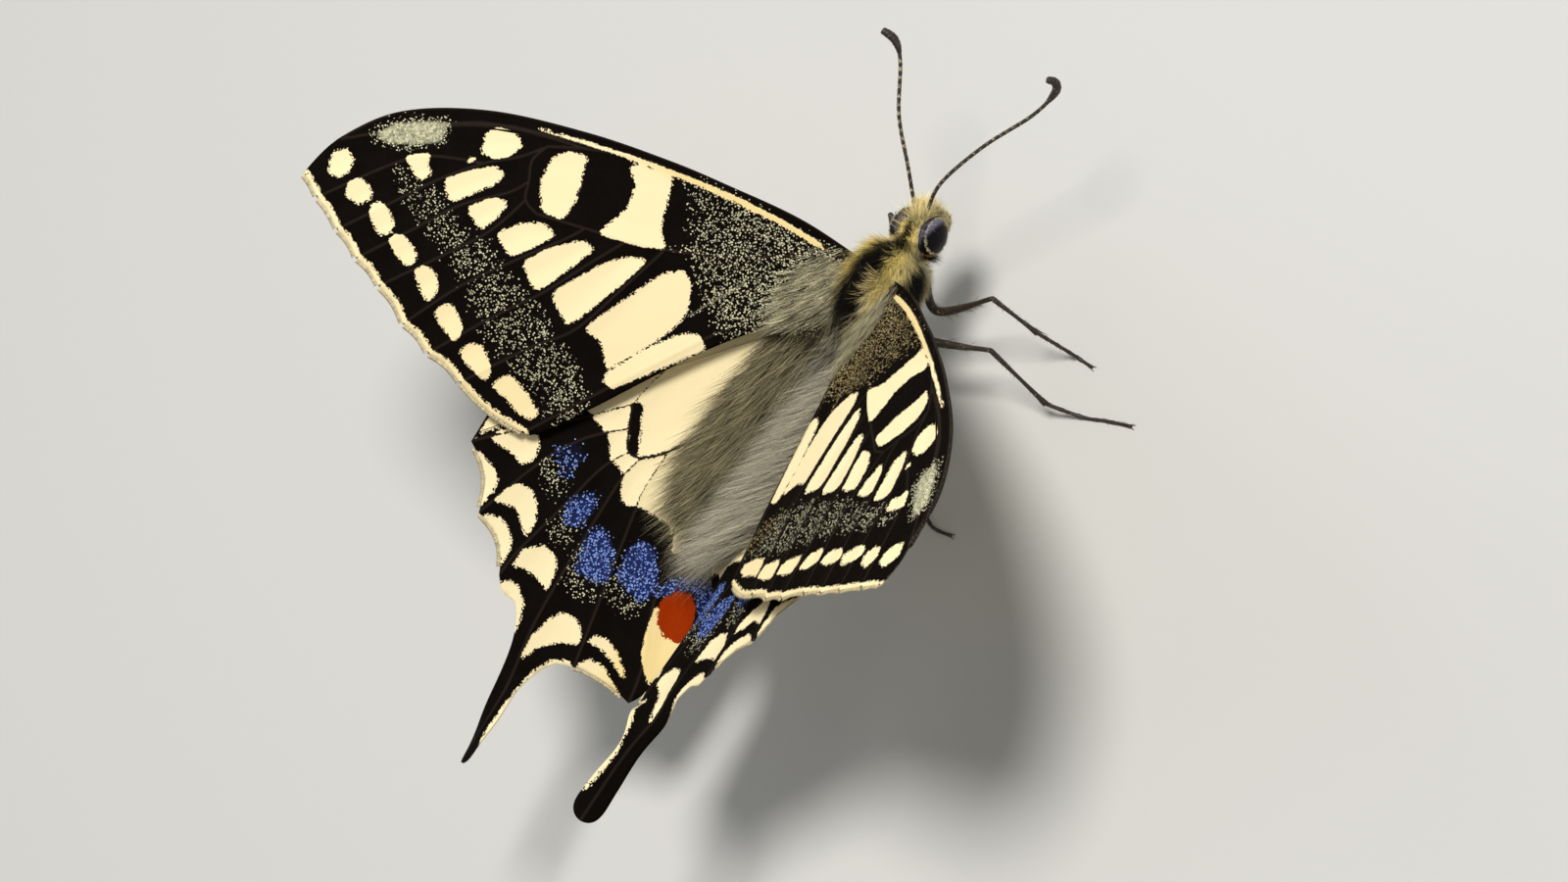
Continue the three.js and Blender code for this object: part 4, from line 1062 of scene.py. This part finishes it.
def leg_piece(name, joints):
    """Coxa and femur, spurred tibia and five-jointed foot with two claws, in the stance frame."""
    root, coxa, knee, ankle = np.array(joints[:4])
    foot = spline(joints[3:], 0.1)
    parts = [tube([root, coxa, knee], femur_radius),
             tube([knee, (knee + ankle) / 2, ankle], tibia_radius), tube(joints[3:], foot_radius)]
    limb = sum(len(part[0]) for part in parts)
    down = unit(ankle - knee)
    for turn in (-0.5, 0.5):
        aside = unit(np.cross(down, [turn, 1, 0.3])) * 0.28
        start = knee + (ankle - knee) * 0.93
        spur = [start, start + down * 0.55 + aside, start + down * 1.15 + aside * 1.5]
        parts.append(tube(spur, taper(0.072, 0.012), 6, 0.15))
    ahead = unit(foot[-1] - foot[-3])
    for sign in (-1, 1):
        aside = unit(np.cross(ahead, UP)) * sign
        start = foot[-1] - ahead * 0.1
        claw = [start, start + ahead * 0.25 + aside * 0.14 + UP * 0.06,
                start + ahead * 0.42 + aside * 0.2 - UP * 0.12]
        parts.append(tube(claw, taper(0.06, 0.01), 6, 0.08))
    rng = np.random.default_rng(len(name))
    parts += bristles(rng, spline([knee, ankle], 0.1), 0.36, 0.26)
    parts += bristles(rng, foot, 0.3, 0.16)
    starts = np.cumsum([0] + [len(part[0]) for part in parts])
    points = np.vstack([part[0] for part in parts])
    faces = np.vstack([part[1] + start for part, start in zip(parts, starts)])
    axis = np.vstack([spline([root, coxa, knee], 0.2), spline([knee, ankle], 0.2), foot])
    nearest = axis[np.argmin(np.linalg.norm(points[:, None] - axis[None], axis=2), axis=1)]
    lee = unit(points - nearest) @ unit(np.array([0.35, 0.2, -1.0]))
    pale = 0.9 * ramp(lee, 0.45, 0.95) * (np.arange(len(points)) < limb)
    points[:, 2] = np.maximum(points[:, 2], STANCE_FLOOR)
    layers = {"place": stance_to_body(points), "pale": pale}
    nodes = [f"leg_{name}_{part}" for part in ("femur", "tibia", "tarsus")]
    add_piece(f"leg_{name}_limb", points, faces, layers, SHELL, "shell", *nodes, carry=from_stance)
    if not name.startswith("hind"):
        femur_fringe(name, stance_to_body(spline([root, coxa, knee], 0.02)))


def femur_fringe(name, line):
    """Loose hair that hangs from a thigh."""
    rng = np.random.default_rng(51)
    count = 260
    pick = rng.integers(len(line) // 4, len(line) * 3 // 4, count)
    forward = unit(np.gradient(line, axis=0))[pick]
    hang = flattened(rng.normal(0, 0.35, (count, 3)) - UP, forward)
    tone = np.where(rng.random((count, 1)) < 0.4, BLACK_FUR, PALE_FUR)
    tone = tone * rng.uniform(0.5, 1, (count, 1))
    uv = np.stack([pick / len(line) * 0.9 + 0.05, rng.uniform(0.1, 0.9, count)], 1)
    strands(f"leg_{name}_hair", line[pick] + hang * 0.25, hang + forward * 0.5,
            rng.uniform(0.5, 1.15, count), 0.045, hang, uv, tone, bend=forward * 0.4, seed=52)


def palp_piece(side, name):
    """A short upturned feeler under the face, bristled with scales."""
    line = with_head(LEFT_PALP * [1, side, 1])
    verts, faces, along = tube(line, lambda s, whole: 0.28 - 0.12 * (s / whole) ** 2, 12)
    # An along of 0 gives the palp's skin the fur material's deepest painted root shade.
    layers = {"place": verts, "tone": np.tile(PALP_SKIN, (len(verts), 1)), "along": along * 0}
    add_piece(f"palp_skin_{name}", verts, faces, layers, FUR, "fur", f"palp_{name}")
    rng = np.random.default_rng(31)
    count = 1100
    curve = spline(line, 0.02)
    pick = rng.integers(3, len(curve) - 1, count)
    forward = unit(np.gradient(curve, axis=0))[pick]
    turn = rng.uniform(0, 2 * math.pi, count)
    first = unit(np.cross(forward, [0, 1.0, 0]))
    out = np.cos(turn)[:, None] * first + np.sin(turn)[:, None] * np.cross(forward, first)
    tone = np.where(rng.random((count, 1)) < 0.3, BLACK_FUR, PALE_FUR)
    uv = np.stack([turn / 7 + 0.05, pick / len(curve) * 0.9 + 0.05], 1)
    strands(f"palp_coat_{name}", curve[pick] + out * 0.2, forward * 0.8 + out * 0.6,
            rng.uniform(0.35, 1.0, count), 0.055, out, uv, tone, bend=forward * 0.5, seed=32)


# ---------------- hair on the wings

def wing_hair(name, wing, side, region, count, light, dark, seed, outward, lift, lengths, bend):
    """Long locks on a wing's inner part; outward is how they fan, at the inner and outer side."""
    rng = np.random.default_rng(seed)
    outline = rounded(region)
    corner, size = outline.min(0), np.ptp(outline, axis=0)
    spots = rng.uniform(corner - 1, outline.max(0) + 1, (count * 6, 2))
    spots = spots[depth_in(spots, [region]) > rng.uniform(-0.8, 1.2, len(spots))][:count]
    points, normal, span, chord = wing_frame(wing, spots)
    x, y, one = spots[:, :1], spots[:, 1:], (len(spots), 1)
    across = np.clip((x - corner[0]) / size[0], 0, 1)
    lock = np.sin(x * 4.1 + np.sin(y * 0.8) * 2) * np.sin(y * 2.3 + x * 1.9)
    fan = outward[0] + (outward[1] - outward[0]) * across + rng.normal(0, 0.13, one) + lock * 0.14
    lie = unit(-chord + span * fan + rng.normal(0, 0.08, (len(spots), 3)))
    heading = raised(lie, normal, rng.normal(lift, 7, len(spots)) + lock[:, 0] * 8)
    bright = rng.random(one) < 0.62 + 0.3 * lock
    tone = np.where(bright, light, dark) * (rng.uniform(0.65, 1.25, one) + lock * 0.25)
    mirror = [1, side, 1]
    uv = np.clip((spots - corner) / size.max() * 0.9 + 0.05, 0.01, 0.99)
    lengths, widths = rng.uniform(*lengths, len(spots)), rng.uniform(0.026, 0.054, len(spots))
    roots, bend = points + normal * WING_THICKNESS / 2, (lie - normal * 0.3) * bend
    strands(name, roots * mirror, heading * mirror, lengths, widths, normal * mirror, uv, tone,
            bend=bend * mirror, wave=0.2, seed=seed)


# ---------------- assembly

def wings():
    """All four; a kind has its outline in parts, veins, layers, fringed margins and their slack."""
    kinds = {
        "forewing": ([spline(FORE_COSTA, 0.25), FORE_OUTER, spline(FORE_INNER, 0.25)],
                     FORE_VEINS, forewing_layers, [FORE_OUTER], 0.0),
        "hindwing": ([spline(HIND_COSTA, 0.25), HIND_OUTER, spline(HIND_TAIL, 0.16), HIND_LOBE,
                      spline(HIND_INNER, 0.25)],
                     HIND_VEINS, hindwing_layers, [HIND_OUTER, HIND_LOBE], 0.15),
    }
    meshes, looks = {}, {}
    for kind, (outline, veins, layers_of, _, _) in kinds.items():
        joined = np.vstack([*(part[:-1] for part in outline), outline[-1][-1:]])
        meshes[kind] = plan_mesh(joined, veins)
        looks[kind] = layers_of(meshes[kind][0])
    for side, name in SIDES:
        for kind in kinds:
            wing_piece(kind, side, name, meshes[kind], *looks[kind])
        for kind, (_, _, layers_of, margins, slack) in kinds.items():
            fringe_piece(kind, side, name, margins,
                         lambda points: layers_of(points)[0]["cream"] + slack > 0)


wings()
body_skin()
for side, name in SIDES:
    eye_piece(side, name)
    eye_rim(side, name)
    palp_piece(side, name)
antenna_piece(LEFT_ANTENNA, "antenna_left", 0.55)
antenna_piece(RIGHT_ANTENNA, "antenna_right", 0.25)
proboscis_piece()
for leg, joints in LEGS.items():
    leg_piece(leg, joints)

BUFF, FAWN = plain(0.88, 0.76, 0.42), plain(0.95, 0.77, 0.34)
NAPES = ((900, 1.4, 1.6), (300, 2.5, 0.8))        # number of hairs, first place and length, by side
# Each coat: name, number of hairs, from where to where, length, width, lift, seed, angles.
for (side, name), seed in zip(SIDES, (1, 11)):
    coat(f"coat_thorax_{name}", 19500, (-5.6, 2.8), 1.6, 0.045, 40, seed, (0, math.pi), side)
coat("coat_thorax_tips", 1100, (-4.5, 2.4), 2.1, 0.045, 46, 12, (-1.2, 1.2), spread=0.15, rings=3)
for (side, name), (number, start, length) in zip(SIDES, NAPES):
    coat(f"coat_shoulder_{name}", 3600, (-4.8, -0.8), 2.6, 0.038, 24, 2, (0.5, 0.95), side,
         (-1, 0.3, 0), BUFF, rings=3)
    coat(f"coat_flank_{name}", 600, (-4.4, -0.2), 2.2, 0.04, 30, 22, (0.7, 1.15), side,
         (-0.7, 0.8, 0.3), BUFF, rings=3)
    coat(f"coat_nape_{name}", number, (start, 3.9), length, 0.045, 50, 23, (0.3, 1.3), side,
         (0.3, 0.8, 0.4), FAWN, spread=0.15, off_eyes=True)
    coat(f"coat_jowl_{name}", 420, (2.0, 2.7), 1.7, 0.05, 76, 24, (1.9, 2.35), side,
         (0.3, 0.3, -0.4), plain(*BLACK_FUR), spread=0.15, bend=0.25)
    coat(f"coat_tuft_{name}", 260, (-2.2, -0.3), 1.9, 0.042, 40, 3, (0.5, 0.95), side,
         (-0.35, -0.9, 0.2), FAWN, rings=4)
coat("coat_abdomen", 12000, (-20.4, -5.4), 1.0, 0.055, 18, 4)
coat("coat_abdomen_long", 5200, (-15.5, -4.4), 4.2, 0.042, 24, 5, tone_of=plain(0.50, 0.47, 0.35),
     rings=3)
coat("coat_neck", 5200, (1.0, 3.5), 1.3, 0.04, 44, 14, (-1.9, 1.9), heading=(-0.6, 0, 0.2),
     spread=0.16, parting=0.7, off_eyes=True)
coat("coat_chest", 4200, (-1.2, 2.7), 1.25, 0.045, 58, 13, (1.75, 4.53), heading=(0.4, 0, -0.5),
     tone_of=chest_tone)
coat("coat_head", 8500, (2.6, 5.02), 0.8, 0.045, 58, 6, heading=(0.5, 0, 0.5), off_eyes=True)
coat("coat_face", 2200, (4.2, 5.0), 2.0, 0.045, 60, 9, (-2.6, 2.6), heading=(0.9, 0, 0.4),
     tone_of=plain(1.0, 0.85, 0.43), spread=0.35, rings=3, off_eyes=True)

LEFT_HAIR = plan(18, -28, 19, -59, 25, -93, 27, -129, 29, -140, 24, -163, 20, -179, 7, -189,
                 -16, -205, -33, -210, -32, -140, -24, -80, -18, -30)
RIGHT_HAIR = plan(5, -20, 22, -60, 32, -100, 36, -142, 36, -180, 20, -200, -33, -200, -32, -140,
                  -24, -80, -18, -30)
FORE_HAIR = plan(4, -8, 16, -30, 22, -54, 16, -80, 10, -77, -26, -42, -26, -10)
# The left hindwing's hair has darker tones than the right's: partly their own tone, partly painted
# light and shade, the right lit and the left shaded.
wing_hair("hair_hindwing_left", LEFT_HINDWING, 1, LEFT_HAIR, 11500, (0.50, 0.44, 0.26),
          (0.085, 0.07, 0.034), 7, (0.05, 0.5), 20, (1.8, 5.0), 0.5)
wing_hair("hair_hindwing_right", RIGHT_HINDWING, -1, RIGHT_HAIR, 11500, (0.92, 0.86, 0.68),
          (0.21, 0.185, 0.125), 8, (-0.45, -0.65), 30, (2.8, 6.2), 0.3)
for side, name in SIDES:
    wing_hair(f"hair_forewing_{name}", FOREWING, side, FORE_HAIR, 2400, (0.86, 0.80, 0.54),
              (0.30, 0.26, 0.16), 21, (0.5, 0.95), 15, (0.9, 2.2), 0.5)

# ---------------- floor, light and camera

FLOOR_REACH = 3                   # half its width, metres
floor_mesh = bpy.data.meshes.new("floor")
corners = [(x * FLOOR_REACH, y * FLOOR_REACH, 0) for x, y in ((-1, -1), (1, -1), (1, 1), (-1, 1))]
floor_mesh.from_pydata(corners, [], [(0, 1, 2, 3)])
floor_mesh.materials.append(Shader("pale_floor").finish((0.62, 0.62, 0.60), 0.8, 0.3))
floor = bpy.data.objects.new("floor", floor_mesh)
bpy.context.scene.collection.objects.link(floor)


def area_light(name, place, size, power, colour):
    """A round lamp that looks at the body; place and size in metres, power in watts."""
    lamp = bpy.data.lights.new(name, "AREA")
    lamp.shape = "DISK"
    lamp.size = size
    lamp.energy = power
    lamp.color = colour
    light = bpy.data.objects.new(name, lamp)
    light.location = place
    light.rotation_euler = (-Vector(place)).to_track_quat("-Z", "Y").to_euler()
    bpy.context.scene.collection.objects.link(light)


SKY = (0.95, 0.97, 1.0)
area_light("key", (0.13, -0.045, 0.46), 0.14, 2.05, (1.0, 0.97, 0.92))
area_light("fill", (-0.15, 0.38, 0.30), 0.40, 0.4, SKY)
world = bpy.data.worlds.new("studio")
world.use_nodes = True
background = world.node_tree.nodes["Background"].inputs
background["Color"].default_value = (*SKY, 1)
background["Strength"].default_value = 0.28
bpy.context.scene.world = world
bpy.context.scene.view_settings.view_transform = "Standard"

# The camera looks down on the right rear; its axes are given in the body frame.
CAMERA_TURN = (35.11, 8.16, -35.25)
CAMERA_PLACE = np.array([-8.25, -13.22, 600.0])   # from the body's origin along the camera's axes
FOCAL_PIXELS, PHOTO_WIDTH = 7860, 1600
SENSOR = 36
sin_a, sin_b = (math.sin(math.radians(a)) for a in CAMERA_TURN[:2])
cos_a, cos_b = (math.cos(math.radians(a)) for a in CAMERA_TURN[:2])
axes = rotation("Z", CAMERA_TURN[2]) @ [[-sin_a * sin_b, -cos_a, -sin_a * cos_b],
                                        [cos_b, 0, -sin_b], [cos_a * sin_b, -sin_a, cos_a * cos_b]]
lens = bpy.data.cameras.new("camera")
lens.sensor_width = SENSOR
lens.lens = SENSOR * FOCAL_PIXELS / PHOTO_WIDTH
lens.clip_start = 0.01
camera = bpy.data.objects.new("camera", lens)
place = from_body(CAMERA_PLACE @ axes)
turned = BODY_TURN @ axes.T
camera.matrix_world = Matrix([[*turned[r], place[r]] for r in range(3)] + [[0, 0, 0, 1]])
bpy.context.scene.collection.objects.link(camera)
bpy.context.scene.camera = camera
